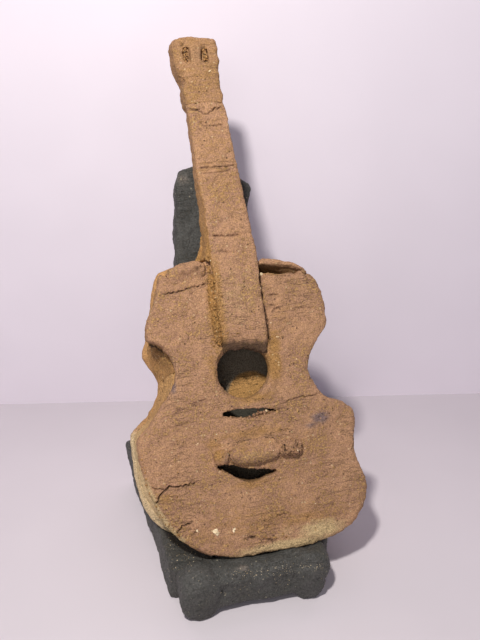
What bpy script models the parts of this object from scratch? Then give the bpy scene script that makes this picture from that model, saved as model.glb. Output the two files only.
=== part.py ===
"""Hand-built clay charango leaning on its clay stand.

Metres, +Z up, front towards -Y. The charango is built upright in its own frame (x across, z up the
neck, soundboard face at y = 0) and then leaned back. The stand is built where it stands.
"""

import math

import bmesh
import bpy
from mathutils import Matrix, Vector
from mathutils.geometry import interpolate_bezier

# Fit between neighbouring pieces
GAP = 0.0003

# Body of the charango
BODY_LENGTH = 0.172
BODY_DEPTH = 0.038
SOUNDBOARD_THICKNESS = 0.008
BACK_THICKNESS = 0.008
RIB_THICKNESS = 0.0055
RIB_SETBACK = 0.0015
SLAB_RIM = 0.0025
LOWER_BOUT_WIDTH = 0.1305
WAIST_WIDTH = 0.0785
UPPER_BOUT_WIDTH = 0.109
HORN_HEIGHT = 0.074
HORN_ROUND = 0.006
UPPER_BOUT_HEIGHT = 0.130
SHOULDER_DROP = 0.016
LEFT_TAIL = 0.014
LEFT_BULGE_DROP = 0.008
LEFT_WAIST_LOWER_LEDGE = 0.015
LEFT_WAIST_UPPER_LEDGE = 0.005
LEFT_SHOULDER = 0.0455
LEFT_TOP = 0.0395
LEFT_TOP_DROP = 0.0015
RIGHT_TAIL = 0.030
RIGHT_BULGE = 0.0025
RIGHT_BULGE_DROP = 0.044
RIGHT_DENT = 0.0045
RIGHT_WAIST_LOWER_LEDGE = 0.0065
RIGHT_WAIST_UPPER_LEDGE = 0.0105
RIGHT_SHOULDER = 0.0495
RIGHT_TOP = 0.0385
RIGHT_TOP_DROP = 0.0065
BACK_LEFT_BULGE_DROP = 0.028
BACK_LEFT_LOWER_FLARE = 0.0015
BACK_LEFT_WAIST_FLARE = 0.0075
BACK_LEFT_WAIST_FOOT_DROP = 0.0105
BACK_LEFT_WAIST_HEAD_DROP = 0.0045
BACK_LEFT_UPPER_INSET = 0.003
BACK_RIGHT_INSET = 0.002

# Openings in the soundboard
SOUND_HOLE_RADIUS = 0.0155
SOUND_HOLE_HEIGHT = 0.106
SOUND_HOLE_RIM = 0.002
UPPER_SLOT_LENGTH = 0.034
UPPER_SLOT_OPENING = 0.0065
UPPER_SLOT_DROP = 0.0245
UPPER_SLOT_TILT = math.radians(-3)
LOWER_SLOT_LENGTH = 0.040
LOWER_SLOT_OPENING = 0.0073
LOWER_SLOT_DROP = 0.0095
LOWER_SLOT_SHIFT = -0.0035
LOWER_SLOT_TILT = math.radians(-11.5)

# Shoulder coils
LEFT_COIL_THICKNESS = 0.0095
RIGHT_COIL_THICKNESS = 0.0065
RIGHT_COIL_SLOT = 0.003
COIL_PROUD = 0.001

# Neck and headstock
NECK_REACH = 0.090
NECK_FOOT_WIDTH = 0.026
NECK_SEAT_WIDTH = 0.0275
NECK_TOP_WIDTH = 0.0225
NECK_BACK = 0.017
NECK_BACK_INSET = 0.0035
NECK_FACE = 0.005
NECK_TONGUE = 0.055
NECK_FOOT_SHIFT = 0.002
NECK_SEAT_SHIFT = 0.0005
NECK_TOP_SHIFT = -0.0062
NECK_EDGE = 0.0015
FRET_SCORE = 0.0007
FRET_RISES = (0.003, 0.0125, 0.051, 0.0545, 0.079, 0.0865)
HEEL_RISE = 0.017
HEEL_DEPTH = 0.014
FILLET_WIDTH = 0.0055
FILLET_HEIGHT = 0.004
HEAD_LENGTH = 0.041
HEAD_WIDTH = 0.027
HEAD_THICKNESS = 0.015
HEAD_SHIFT = 0.002
HEAD_TILT = math.radians(8)
PEG_SLOT_LENGTH = 0.0095
PEG_SLOT_WIDTH = 0.0045
PEG_SLOT_DEPTH = 0.004
PEG_SLOT_SPACING = 0.0105
PEG_SLOT_RISE = 0.0295

# Bridge
BRIDGE_HEIGHT = 0.059
BRIDGE_SHIFT = 0.001
BAR_LENGTH = 0.028
BAR_THICKNESS = 0.010
BAR_PROUD = 0.007
LEFT_PAD_LENGTH = 0.010
LEFT_PAD_PROUD = 0.0035
RIGHT_PAD_LENGTH = 0.0135
RIGHT_PAD_PROUD = 0.007

# Stand
LEAN = math.radians(27)
SEAT_HEIGHT = 0.0302
STAND_SHIFT = -0.006
STAND_FRONT = 0.0135
FOOT_BACK = 0.008
FOOT_WIDTH = 0.024
FOOT_INSET = 0.03225
LEFT_FOOT_HEIGHT = 0.031
RIGHT_FOOT_HEIGHT = 0.033
RAIL_SETBACK = 0.004
RAIL_DROP = 0.002
RAIL_BITE = 0.002
RAIL_ARCH = 0.003
SIDE_REAR = 0.124
SIDE_THICKNESS = 0.012
SIDE_INSET = 0.01675
SIDE_SPLAY = 0.0095
SIDE_FRONT_HEIGHT = 0.029
SIDE_REAR_HEIGHT = 0.041
SIDE_PAD = 0.019
SIDE_ARCH = 0.0045
SIDE_RIM = 0.0025
REST_THICKNESS = 0.013
REST_TOP = 0.236
REST_DROP = 0.005
REST_TOP_WIDTH = 0.046
REST_EAR = 0.004
REST_HOUSING = 0.003
REST_RIM = 0.002

# Spans of the stand that follow the body
SIDE_SPAN = LOWER_BOUT_WIDTH - 2 * SIDE_INSET
FOOT_SPREAD = LOWER_BOUT_WIDTH - 2 * FOOT_INSET

# Smoothness of the curves
SPAN_STEPS = 3
WAIST_SWEEP = math.radians(50)
SHARP = math.radians(35)


def material(name, colour, roughness):
    made = bpy.data.materials.new(name)
    made.use_nodes = True
    shader = made.node_tree.nodes["Principled BSDF"]
    shader.inputs["Base Color"].default_value = (*colour, 1.0)
    shader.inputs["Roughness"].default_value = roughness
    shader.inputs["Metallic"].default_value = 0.0
    return made


def empty(name, parent=None):
    made = bpy.data.objects.new(name, None)
    bpy.context.collection.objects.link(made)
    made.parent = parent
    return made


def add(name, bm, parent, clay):
    """Makes the object of a bmesh under its frame. Without clay it is a hidden cutter."""
    bmesh.ops.recalc_face_normals(bm, faces=bm.faces)
    mesh = bpy.data.meshes.new(name)
    bm.to_mesh(mesh)
    bm.free()
    made = bpy.data.objects.new(name, mesh)
    bpy.context.collection.objects.link(made)
    made.parent = parent
    if clay:
        mesh.materials.append(clay)
        mesh.shade_smooth()
        mesh.set_sharp_from_angle(angle=SHARP)
    else:
        made.hide_render = True
        made.display_type = "WIRE"
    return made


def cut(target, cutter):
    boolean = target.modifiers.new("cut by " + cutter.name, "BOOLEAN")
    boolean.operation = "DIFFERENCE"
    boolean.solver = "EXACT"
    boolean.object = cutter


def flat(pairs, y=0.0):
    return [Vector((x, y, z)) for x, z in pairs]


def smooth_closed(points, steps=SPAN_STEPS):
    """Samples of a closed centripetal curve through the points."""
    count = len(points)
    curve = []
    for i, start in enumerate(points):
        before, end, after = points[i - 1], points[(i + 1) % count], points[(i + 2) % count]
        first = (start - before).length ** 0.5
        span = (end - start).length ** 0.5
        last = (after - end).length ** 0.5
        leave = end - start + span * ((start - before) / first - (end - before) / (first + span))
        arrive = end - start + span * ((after - end) / last - (after - start) / (span + last))
        curve += interpolate_bezier(start, start + leave / 3, end - arrive / 3, end, steps + 1)[:-1]
    return curve


def inset(outline, distance):
    """The outline moved inwards in x and z. It runs anticlockwise as seen from the front."""
    count = len(outline)
    moved = []
    for i, point in enumerate(outline):
        along = (outline[(i + 1) % count] - outline[i - 1]).normalized()
        moved.append(point + distance * Vector((-along.z, 0, along.x)))
    return moved


def relaxed(outline, rounds):
    """The outline with its tight corners eased."""
    count = len(outline)
    for _ in range(rounds):
        outline = [
            (outline[i - 1] + 2 * outline[i] + outline[(i + 1) % count]) / 4 for i in range(count)
        ]
    return outline


def at_depth(outline, y):
    return [Vector((point.x, y, point.z)) for point in outline]


def loft(rings):
    """A closed body through rings of points, with its two ends filled."""
    bm = bmesh.new()
    loops = [[bm.verts.new(point) for point in ring] for ring in rings]
    for near, far in zip(loops, loops[1:]):
        for i in range(len(near)):
            bm.faces.new((near[i - 1], near[i], far[i], far[i - 1]))
    bm.faces.new(loops[0])
    bm.faces.new(loops[-1])
    bmesh.ops.recalc_face_normals(bm, faces=bm.faces)
    return bm


def slab(outline, front, back, rim):
    """A slab between two depths with both its rims rounded over."""
    ease = rim * (1 - math.sqrt(0.5))
    steps = ((front, rim), (front + ease, ease), (front + rim, 0))
    steps += ((back - rim, 0), (back - ease, ease), (back, rim))
    return loft([at_depth(inset(outline, inwards), depth) for depth, inwards in steps])


def strip(outer_front, inner_front, outer_back, inner_back, first, last, end_gap):
    """A strip along part of an outline, its two ends drawn in by a gap."""
    rings = []
    for i in range(first, last + 1):
        k = i % len(outer_front)
        rings.append([outer_front[k], inner_front[k], inner_back[k], outer_back[k]])
    for end, beside in ((0, 1), (-1, -2)):
        for j in range(4):
            pull = (rings[beside][j] - rings[end][j]).normalized() * end_gap
            rings[end][j] = rings[end][j] + pull
    return loft(rings)


def coil(path, widths, flattening):
    """A hand-rolled coil along a path in x and z, round across and closed by small end rings."""
    rings = []
    for i, point in enumerate(path):
        along = (path[min(i + 1, len(path) - 1)] - path[max(i - 1, 0)]).normalized()
        across = Vector((-along.z, 0, along.x))
        ring = []
        for k in range(10):
            turn = k * math.tau / 10
            side = across * math.cos(turn) * widths[i] / 2
            ring.append(point + side + Vector((0, math.sin(turn) * flattening[i] / 2, 0)))
        rings.append(ring)
    return loft(rings)


def lump(centre, radii, power=2.8, cuts=4):
    """A thumbed lump of clay, rounder for a low power and boxier for a high one."""
    bm = bmesh.new()
    bmesh.ops.create_cube(bm, size=2)
    bmesh.ops.subdivide_edges(bm, edges=bm.edges[:], cuts=cuts, use_grid_fill=True)
    for vert in bm.verts:
        reach = sum(abs(side) ** power for side in vert.co) ** (1 / power)
        vert.co = [c + side / reach * r for c, side, r in zip(centre, vert.co, radii)]
    return bm


def trim(bm, point, normal):
    """Cuts a body flat on a plane and drops what lies on the normal's side."""
    geometry = bm.verts[:] + bm.edges[:] + bm.faces[:]
    made = bmesh.ops.bisect_plane(
        bm, geom=geometry, plane_co=point, plane_no=normal, clear_outer=True
    )
    edges = [part for part in made["geom_cut"] if isinstance(part, bmesh.types.BMEdge)]
    bmesh.ops.holes_fill(bm, edges=edges)


def box(low, high):
    bm = bmesh.new()
    bmesh.ops.create_cube(bm, size=1)
    size = [b - a for a, b in zip(low, high)]
    middle = [(a + b) / 2 for a, b in zip(low, high)]
    bmesh.ops.scale(bm, vec=size, verts=bm.verts)
    bmesh.ops.translate(bm, vec=middle, verts=bm.verts)
    return bm


def joined(parts):
    """Several closed bodies in one mesh, for a cutter."""
    whole = bmesh.new()
    for part in parts:
        mesh = bpy.data.meshes.new("joined")
        part.to_mesh(mesh)
        part.free()
        whole.from_mesh(mesh)
        bpy.data.meshes.remove(mesh)
    return whole


# Outlines of the body

def side(tail, bulge, bulge_drop, horn, dent, waist, waist_low, waist_high, upper, shoulder, top,
         top_drop):
    """One half outline from the tail to the top corner, x positive."""
    bulge_height = HORN_HEIGHT - bulge_drop
    waist_height = (waist_low + waist_high) / 2
    waist_radius = (waist_high - waist_low) / 2 / math.sin(WAIST_SWEEP)
    points = []
    for turn in (0, 30, 60, 90):
        across = math.sin(math.radians(turn))
        rise = 1 - math.cos(math.radians(turn))
        points.append((tail + (bulge - tail) * across, bulge_height * rise))
    points.append(((bulge + horn) / 2 - dent, (bulge_height + HORN_HEIGHT) / 2))
    points.append((horn, HORN_HEIGHT))
    points.append((horn - HORN_ROUND, HORN_HEIGHT + HORN_ROUND))
    for turn in (-WAIST_SWEEP, 0, WAIST_SWEEP):
        out = waist_radius * (1 - math.cos(turn))
        rise = waist_radius * math.sin(turn)
        points.append((waist + out, waist_height + rise))
    points.append((upper, UPPER_BOUT_HEIGHT))
    points.append((shoulder, BODY_LENGTH - SHOULDER_DROP))
    points.append((top, BODY_LENGTH - top_drop))
    return points


def outline(left_shape, right_shape):
    """The whole outline and the sample numbers of its waists, coil ends, neck corners and top."""
    left, right = side(**left_shape), side(**right_shape)
    neck = NECK_SEAT_WIDTH / 2 + GAP
    middle = NECK_SEAT_SHIFT
    top = [(middle + neck, BODY_LENGTH), (middle, BODY_LENGTH), (middle - neck, BODY_LENGTH)]
    points = [((right[0][0] - left[0][0]) / 2, 0)]
    points += right + top + [(-x, z) for x, z in reversed(left)]
    marks = {
        "right_waist": len(right) - 4,
        "right_coil": len(right) - 2 / SPAN_STEPS,
        "right_neck": len(right) + 1,
        "top": len(right) + 2,
        "left_neck": len(right) + 3,
        "left_coil": len(right) + 4 + 1 / SPAN_STEPS,
        "left_waist": len(right) + 8,
    }
    marks = {name: round(number * SPAN_STEPS) for name, number in marks.items()}
    return smooth_closed(flat(points)), marks


def soundboard_halves():
    """Each waist curve starts a ledge above the horn and ends a ledge below the upper bout."""
    lower, waist, upper = LOWER_BOUT_WIDTH / 2, WAIST_WIDTH / 2, UPPER_BOUT_WIDTH / 2
    horn_top = HORN_HEIGHT + HORN_ROUND
    left = {
        "tail": LEFT_TAIL, "bulge": lower, "bulge_drop": LEFT_BULGE_DROP, "horn": lower, "dent": 0,
        "waist": waist, "waist_low": horn_top + LEFT_WAIST_LOWER_LEDGE,
        "waist_high": UPPER_BOUT_HEIGHT - LEFT_WAIST_UPPER_LEDGE,
        "upper": upper, "shoulder": LEFT_SHOULDER, "top": LEFT_TOP, "top_drop": LEFT_TOP_DROP,
    }
    right = {
        "tail": RIGHT_TAIL, "bulge": lower + RIGHT_BULGE, "bulge_drop": RIGHT_BULGE_DROP, "horn": lower,
        "dent": RIGHT_DENT, "waist": waist, "waist_low": horn_top + RIGHT_WAIST_LOWER_LEDGE,
        "waist_high": UPPER_BOUT_HEIGHT - RIGHT_WAIST_UPPER_LEDGE,
        "upper": upper, "shoulder": RIGHT_SHOULDER, "top": RIGHT_TOP, "top_drop": RIGHT_TOP_DROP,
    }
    return left, right


def back_halves():
    """The back stands proud of the soundboard on the left and lies inside it on the right."""
    left, right = soundboard_halves()
    left["bulge"] += BACK_LEFT_LOWER_FLARE
    left["horn"] += BACK_LEFT_LOWER_FLARE
    left["bulge_drop"] = BACK_LEFT_BULGE_DROP
    left["waist"] += BACK_LEFT_WAIST_FLARE
    left["waist_low"] -= BACK_LEFT_WAIST_FOOT_DROP
    left["waist_high"] -= BACK_LEFT_WAIST_HEAD_DROP
    left["upper"] -= BACK_LEFT_UPPER_INSET
    for name in ("bulge", "horn", "upper"):
        right[name] -= BACK_RIGHT_INSET
    return left, right


# Charango

def neck_line(z):
    """Middle and half width of the neck at a height."""
    rise = z - BODY_LENGTH
    if rise < 0:
        share, shift, width = -rise / NECK_TONGUE, NECK_FOOT_SHIFT, NECK_FOOT_WIDTH
    else:
        share, shift, width = rise / NECK_REACH, NECK_TOP_SHIFT, NECK_TOP_WIDTH
    middle = NECK_SEAT_SHIFT + (shift - NECK_SEAT_SHIFT) * share
    return middle, (NECK_SEAT_WIDTH + (width - NECK_SEAT_WIDTH) * share) / 2


def sound_hole_cutter(depth, name, parent):
    """A round punch with a flared rim, long enough for the board and the lapped neck."""
    steps = (
        (-NECK_FACE - 2 * SOUND_HOLE_RIM, SOUND_HOLE_RADIUS + SOUND_HOLE_RIM),
        (0, SOUND_HOLE_RADIUS + SOUND_HOLE_RIM),
        (SOUND_HOLE_RIM, SOUND_HOLE_RADIUS),
        (depth + SOUND_HOLE_RIM, SOUND_HOLE_RADIUS),
    )
    rings = []
    for y, radius in steps:
        turns = [k * math.tau / 32 for k in range(32)]
        rings.append(
            flat([(radius * math.cos(t), SOUND_HOLE_HEIGHT + radius * math.sin(t)) for t in turns], y)
        )
    return add(name, loft(rings), parent, None)


def lens_lips():
    """Lips of an even, lens-shaped cut, as shares of half its length and of its opening."""
    turns = [k * math.tau / 12 for k in range(12)]
    return [(math.cos(turn), math.sin(turn) / 2) for turn in turns]


def wedge_lips():
    """Lips of a torn cut, the upper one nearly straight and the lower one sagging to a point."""
    upper = [(1.0, 0.0), (0.55, 0.06), (0.0, 0.1), (-0.35, 0.2), (-0.7, 0.27)]
    lower_left = [(-1.0, 0.0), (-0.72, -0.25), (-0.5, -0.5), (-0.28, -0.82)]
    lower_right = [(0.0, -0.9), (0.36, -0.57), (0.72, -0.22)]
    return upper + lower_left + lower_right


def slot_cutter(length, opening, middle, height, tilt, lips, name, parent):
    """A cut through the soundboard between two lips."""
    points = []
    for along_share, lip_share in lips:
        along = length / 2 * along_share
        points.append((middle + along, height + opening * lip_share + along * math.tan(tilt)))
    depths = (-SOUND_HOLE_RIM, SOUNDBOARD_THICKNESS + SOUND_HOLE_RIM)
    return add(name, loft([flat(points, y) for y in depths]), parent, None)


def build_body(frame, brown, ochre, buff):
    board, marks = outline(*soundboard_halves())
    back, _ = outline(*back_halves())

    soundboard = add("soundboard", slab(board, 0, SOUNDBOARD_THICKNESS, SLAB_RIM), frame, brown)
    cut(soundboard, sound_hole_cutter(SOUNDBOARD_THICKNESS, "sound_hole_punch", frame))
    upper = slot_cutter(
        UPPER_SLOT_LENGTH, UPPER_SLOT_OPENING, BRIDGE_SHIFT, SOUND_HOLE_HEIGHT - UPPER_SLOT_DROP,
        UPPER_SLOT_TILT, lens_lips(), "upper_slot", frame,
    )
    cut(soundboard, upper)
    lower = slot_cutter(
        LOWER_SLOT_LENGTH, LOWER_SLOT_OPENING, LOWER_SLOT_SHIFT, BRIDGE_HEIGHT - LOWER_SLOT_DROP,
        LOWER_SLOT_TILT, wedge_lips(), "lower_slot", frame,
    )
    cut(soundboard, lower)

    ends = (
        ("right", marks["right_coil"], marks["right_neck"], RIGHT_COIL_THICKNESS, RIGHT_COIL_SLOT),
        ("left", marks["left_neck"], marks["left_coil"], LEFT_COIL_THICKNESS, GAP),
    )
    top_line = relaxed(board, 3)
    for hand, first, last, thickness, below in ends:
        outer, inner = inset(top_line, -thickness), inset(top_line, thickness + below)
        notch = strip(
            at_depth(outer, -SLAB_RIM), at_depth(inner, -SLAB_RIM),
            at_depth(outer, SOUNDBOARD_THICKNESS + SLAB_RIM),
            at_depth(inner, SOUNDBOARD_THICKNESS + SLAB_RIM), first, last, 0,
        )
        cut(soundboard, add(hand + "_coil_notch", notch, frame, None))
        depth = SOUNDBOARD_THICKNESS + COIL_PROUD
        centre_depth = (SOUNDBOARD_THICKNESS - COIL_PROUD) / 2
        path = at_depth(inset(top_line, thickness / 2)[first:last + 1], centre_depth)
        end_pull = thickness / 4
        end_room = GAP + thickness / 10
        path[0] = path[0] + (path[1] - path[0]).normalized() * end_room
        path[-1] = path[-1] + (path[-2] - path[-1]).normalized() * end_room
        inner_first = path[0] + (path[1] - path[0]).normalized() * end_pull
        inner_last = path[-1] + (path[-2] - path[-1]).normalized() * end_pull
        path = [path[0], inner_first] + path[1:-1] + [inner_last, path[-1]]
        shares = [0.6] + [1.0] * (len(path) - 2) + [0.6]
        roll = coil(path, [thickness * s for s in shares], [depth * s for s in shares])
        add(hand + "_shoulder_coil", roll, frame, ochre)

    back_front = BODY_DEPTH - BACK_THICKNESS
    add("back_slab", slab(back, back_front, BODY_DEPTH, SLAB_RIM), frame, brown)

    eased_board, eased_back = relaxed(board, 4), relaxed(back, 4)
    inner_by = RIB_SETBACK + RIB_THICKNESS
    walls = (
        at_depth(inset(eased_board, RIB_SETBACK), SOUNDBOARD_THICKNESS + GAP),
        at_depth(inset(eased_board, inner_by), SOUNDBOARD_THICKNESS + GAP),
        at_depth(inset(eased_back, RIB_SETBACK), back_front - GAP),
        at_depth(inset(eased_back, inner_by), back_front - GAP),
    )
    ribs = (
        ("lower_right_rib", 0, marks["right_waist"], brown),
        ("upper_right_rib", marks["right_waist"], marks["top"], ochre),
        ("upper_left_rib", marks["top"], marks["left_waist"], ochre),
        ("lower_left_rib", marks["left_waist"], len(board), buff),
    )
    for name, first, last, clay in ribs:
        add(name, strip(*walls, first, last, GAP / 2), frame, clay)


def build_neck(frame, brown, ochre):
    foot = BODY_LENGTH - NECK_TONGUE
    seat = BODY_LENGTH + GAP
    top = BODY_LENGTH + NECK_REACH
    front = -NECK_FACE - GAP
    profile = (
        (front, foot), (front, seat), (front, top), (NECK_BACK, top), (NECK_BACK, seat), (-GAP, seat),
        (-GAP, foot),
    )
    flanks = []
    for sign in (-1, 1):
        flank = []
        for y, z in profile:
            middle, half = neck_line(z)
            if (y, z) == (NECK_BACK, top):
                half -= NECK_BACK_INSET
            flank.append(Vector((middle + sign * half, y, z)))
        flanks.append(flank)
    bar = loft(flanks)
    for sign in (-1, 1):
        step = [v for v in bar.verts if abs(v.co.z - seat) < GAP and v.co.y < 0 and sign * v.co.x > 0]
        bmesh.ops.connect_verts(bar, verts=step)
    long_edges = []
    for edge in bar.edges:
        low, high = sorted((edge.verts[0].co, edge.verts[1].co), key=lambda co: co.z)
        if high.z - low.z > NECK_EDGE and (low.y < -NECK_FACE or high.z > seat + NECK_EDGE):
            long_edges.append(edge)
    bmesh.ops.bevel(
        bar, geom=long_edges, offset=NECK_EDGE, segments=2, profile=0.5, affect="EDGES"
    )
    neck = add("neck", bar, frame, brown)
    cut(neck, sound_hole_cutter(SOUNDBOARD_THICKNESS, "neck_punch", frame))
    scores = []
    for rise in FRET_RISES:
        middle, half = neck_line(BODY_LENGTH + rise)
        reach = half + NECK_EDGE
        score = box((-reach, -FRET_SCORE, -FRET_SCORE), (reach, FRET_SCORE, FRET_SCORE))
        place = Matrix.Translation((middle, front, BODY_LENGTH + rise)) @ Matrix.Rotation(math.pi / 4, 4, "X")
        bmesh.ops.transform(score, matrix=place, verts=score.verts)
        scores.append(score)
    cut(neck, add("fret_scores", joined(scores), frame, None))

    low_middle, low_half = neck_line(seat)
    high_middle, high_half = neck_line(seat + HEEL_RISE)
    heel_front = NECK_BACK + GAP
    heel_back = min(heel_front + HEEL_DEPTH, BODY_DEPTH)
    corner = low_half / 3
    base = [
        (low_middle - low_half, heel_front), (low_middle + low_half, heel_front),
        (low_middle + low_half - corner / 2, heel_back - corner),
        (low_middle + low_half - corner, heel_back), (low_middle - low_half + corner, heel_back),
        (low_middle - low_half + corner / 2, heel_back - corner),
    ]
    squeeze = high_half / low_half
    tip = [
        (high_middle + (x - low_middle) * squeeze, heel_front + (y - heel_front) / 5) for x, y in base
    ]
    waist = [
        ((bx + tx) / 2, 0.3 * by + 0.7 * ty) for (bx, by), (tx, ty) in zip(base, tip)
    ]
    heights = (seat, seat + HEEL_RISE / 2, seat + HEEL_RISE)
    rings = [[Vector((x, y, z)) for x, y in ring] for ring, z in zip((base, waist, tip), heights)]
    add("heel", loft(rings), frame, ochre)

    rings = []
    low, high = foot + FILLET_WIDTH, BODY_LENGTH - LEFT_COIL_THICKNESS - 2 * GAP
    for k, fullness in enumerate((0.5, 0.9, 1.0, 0.8, 1.0, 0.9, 0.6)):
        z = low + (high - low) * k / 6
        middle, half = neck_line(z)
        edge = middle - half - GAP
        wide, tall = FILLET_WIDTH * fullness, FILLET_HEIGHT * fullness
        section = (
            (edge, -GAP), (edge - wide, -GAP), (edge - wide * 0.8, -GAP - tall * 0.45),
            (edge - wide * 0.35, -GAP - tall * 0.9), (edge, -GAP - tall),
        )
        rings.append([Vector((x, y, z)) for x, y in section])
    add("neck_fillet", loft(rings), frame, ochre)

    build_head(frame, brown, top + GAP, front)


def build_head(frame, brown, base, front):
    top_middle, _ = neck_line(base)
    middle = top_middle - HEAD_SHIFT
    shape = (
        (-0.33, 0.0), (0.06, 0.0), (0.46, 0.0), (0.47, 0.25), (0.48, 0.6), (0.49, 0.92), (0.38, 0.975),
        (-0.1, 1.0), (-0.42, 0.97), (-0.5, 0.92), (-0.47, 0.65), (-0.42, 0.48), (-0.35, 0.33),
    )
    edge = smooth_closed(flat([(middle + x * HEAD_WIDTH, base + z * HEAD_LENGTH) for x, z in shape]), 2)
    edge = [Vector((point.x, point.y, max(point.z, base))) for point in edge]
    plate = slab(edge, front, front + HEAD_THICKNESS, NECK_EDGE)
    slots = []
    for sign in (-1, 1):
        across = middle + sign * PEG_SLOT_SPACING / 2
        rise = base + PEG_SLOT_RISE
        low = (across - PEG_SLOT_WIDTH / 2, front - PEG_SLOT_DEPTH, rise - PEG_SLOT_LENGTH / 2)
        high = (across + PEG_SLOT_WIDTH / 2, front + PEG_SLOT_DEPTH, rise + PEG_SLOT_LENGTH / 2)
        slot = box(low, high)
        corners = [e for e in slot.edges if abs(e.verts[0].co.y - e.verts[1].co.y) > PEG_SLOT_DEPTH]
        bmesh.ops.bevel(
            slot, geom=corners, offset=PEG_SLOT_WIDTH * 0.4, segments=2, profile=0.5, affect="EDGES"
        )
        slots.append(slot)
    cutter = joined(slots)
    for bm in (plate, cutter):
        for vert in bm.verts:
            vert.co.y += (vert.co.z - base) * math.tan(HEAD_TILT)
    headstock = add("headstock", plate, frame, brown)
    cut(headstock, add("peg_slots", cutter, frame, None))


def build_bridge(frame, brown):
    left_end = BRIDGE_SHIFT - BAR_LENGTH / 2
    right_end = BRIDGE_SHIFT + BAR_LENGTH / 2
    pieces = (
        ("bridge_bar", left_end, right_end, BAR_THICKNESS, BAR_PROUD, 3.2),
        ("bridge_left_pad", left_end - GAP - LEFT_PAD_LENGTH, left_end - GAP,
         BAR_THICKNESS * 0.8, LEFT_PAD_PROUD, 2.6),
        ("bridge_right_pad", right_end + GAP, right_end + GAP + RIGHT_PAD_LENGTH,
         BAR_THICKNESS, RIGHT_PAD_PROUD, 2.4),
    )
    for name, left, right, thickness, proud, power in pieces:
        centre = ((left + right) / 2, -GAP, BRIDGE_HEIGHT)
        piece = lump(centre, ((right - left) / 2, proud, thickness / 2), power, 4)
        trim(piece, (0, -GAP, 0), (0, 1, 0))
        add(name, piece, frame, brown)


# Stand

def envelope_cutter(frame):
    """The room that the leaning body takes, and the way it lifts out, with the gap around it."""
    board, _ = outline(*soundboard_halves())
    back, _ = outline(*back_halves())
    rings = [
        at_depth(inset(board, -GAP), -BODY_LENGTH),
        at_depth(inset(board, -GAP), SOUNDBOARD_THICKNESS),
        at_depth(inset(back, -GAP), BODY_DEPTH - BACK_THICKNESS),
        at_depth(inset(back, -GAP), BODY_DEPTH + GAP),
    ]
    return add("body_room", loft(rings), frame, None)


def foot_lump(sign, height, grown):
    centre_x = STAND_SHIFT + sign * FOOT_SPREAD / 2
    back = FOOT_BACK + STAND_FRONT * 0.15
    middle = (centre_x, (back - STAND_FRONT) / 2, height * 0.45)
    radii = (FOOT_WIDTH / 2 + grown, (back + STAND_FRONT) / 2 + grown, height * 0.55 + grown)
    return lump(middle, radii)


def build_feet_and_rail(frame, room, black):
    rail_back = (RAIL_DROP + RAIL_BITE) / math.tan(LEAN)
    rail_front = RAIL_SETBACK - STAND_FRONT
    reach = FOOT_SPREAD / 2
    top = SEAT_HEIGHT - RAIL_DROP
    soft = RAIL_SETBACK
    rings = []
    for k in range(9):
        across = -1 + k / 4
        x = STAND_SHIFT + across * reach
        low = RAIL_ARCH * (1 - 0.6 * across ** 2)
        section = (
            (rail_front + soft, low), (rail_back - soft, low), (rail_back, low + soft),
            (rail_back, top - soft / 4), (rail_back - soft / 4, top), (rail_front + soft * 1.5, top),
            (rail_front + soft / 2, top - soft / 2), (rail_front, top - soft * 1.5), (rail_front, low + soft),
        )
        rings.append([Vector((x, y, z)) for y, z in section])
    rail = add("front_rail", loft(rings), frame, black)
    cut(rail, room)
    feet = (("left_front_foot", -1, LEFT_FOOT_HEIGHT), ("right_front_foot", 1, RIGHT_FOOT_HEIGHT))
    for name, sign, height in feet:
        foot = foot_lump(sign, height, 0)
        trim(foot, (0, 0, 0), (0, 0, -1))
        trim(foot, (0, FOOT_BACK, 0), (0, 1, 0))
        cut(add(name, foot, frame, black), room)
        cut(rail, add(name + "_room", foot_lump(sign, height, GAP), frame, None))


def rest_slab(grown):
    """The back rest in the charango's frame, grown all round for the housing it sits in."""
    foot_left = STAND_SHIFT - SIDE_SPAN / 2 + SIDE_THICKNESS - REST_HOUSING
    foot_right = STAND_SHIFT + SIDE_SPAN / 2 - SIDE_THICKNESS + REST_HOUSING
    half = REST_TOP_WIDTH / 2
    knee = 0.19 * REST_TOP
    points = [
        (foot_left, -REST_DROP), (0, -REST_DROP), (foot_right, -REST_DROP), (foot_right, knee),
        (half + REST_EAR, REST_TOP * 0.6), (half, REST_TOP * 0.89), (half + REST_EAR, REST_TOP * 0.935),
        (half - REST_EAR, REST_TOP * 0.968), (0, REST_TOP), (-half + REST_EAR, REST_TOP * 0.995),
        (-half, REST_TOP * 0.92), (-half - REST_EAR, REST_TOP * 0.76), (foot_left, knee),
    ]
    edge = inset(smooth_closed(flat(points), 2), -grown)
    near = BODY_DEPTH + GAP
    return slab(edge, near - grown, near + REST_THICKNESS + grown, REST_RIM)


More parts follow.
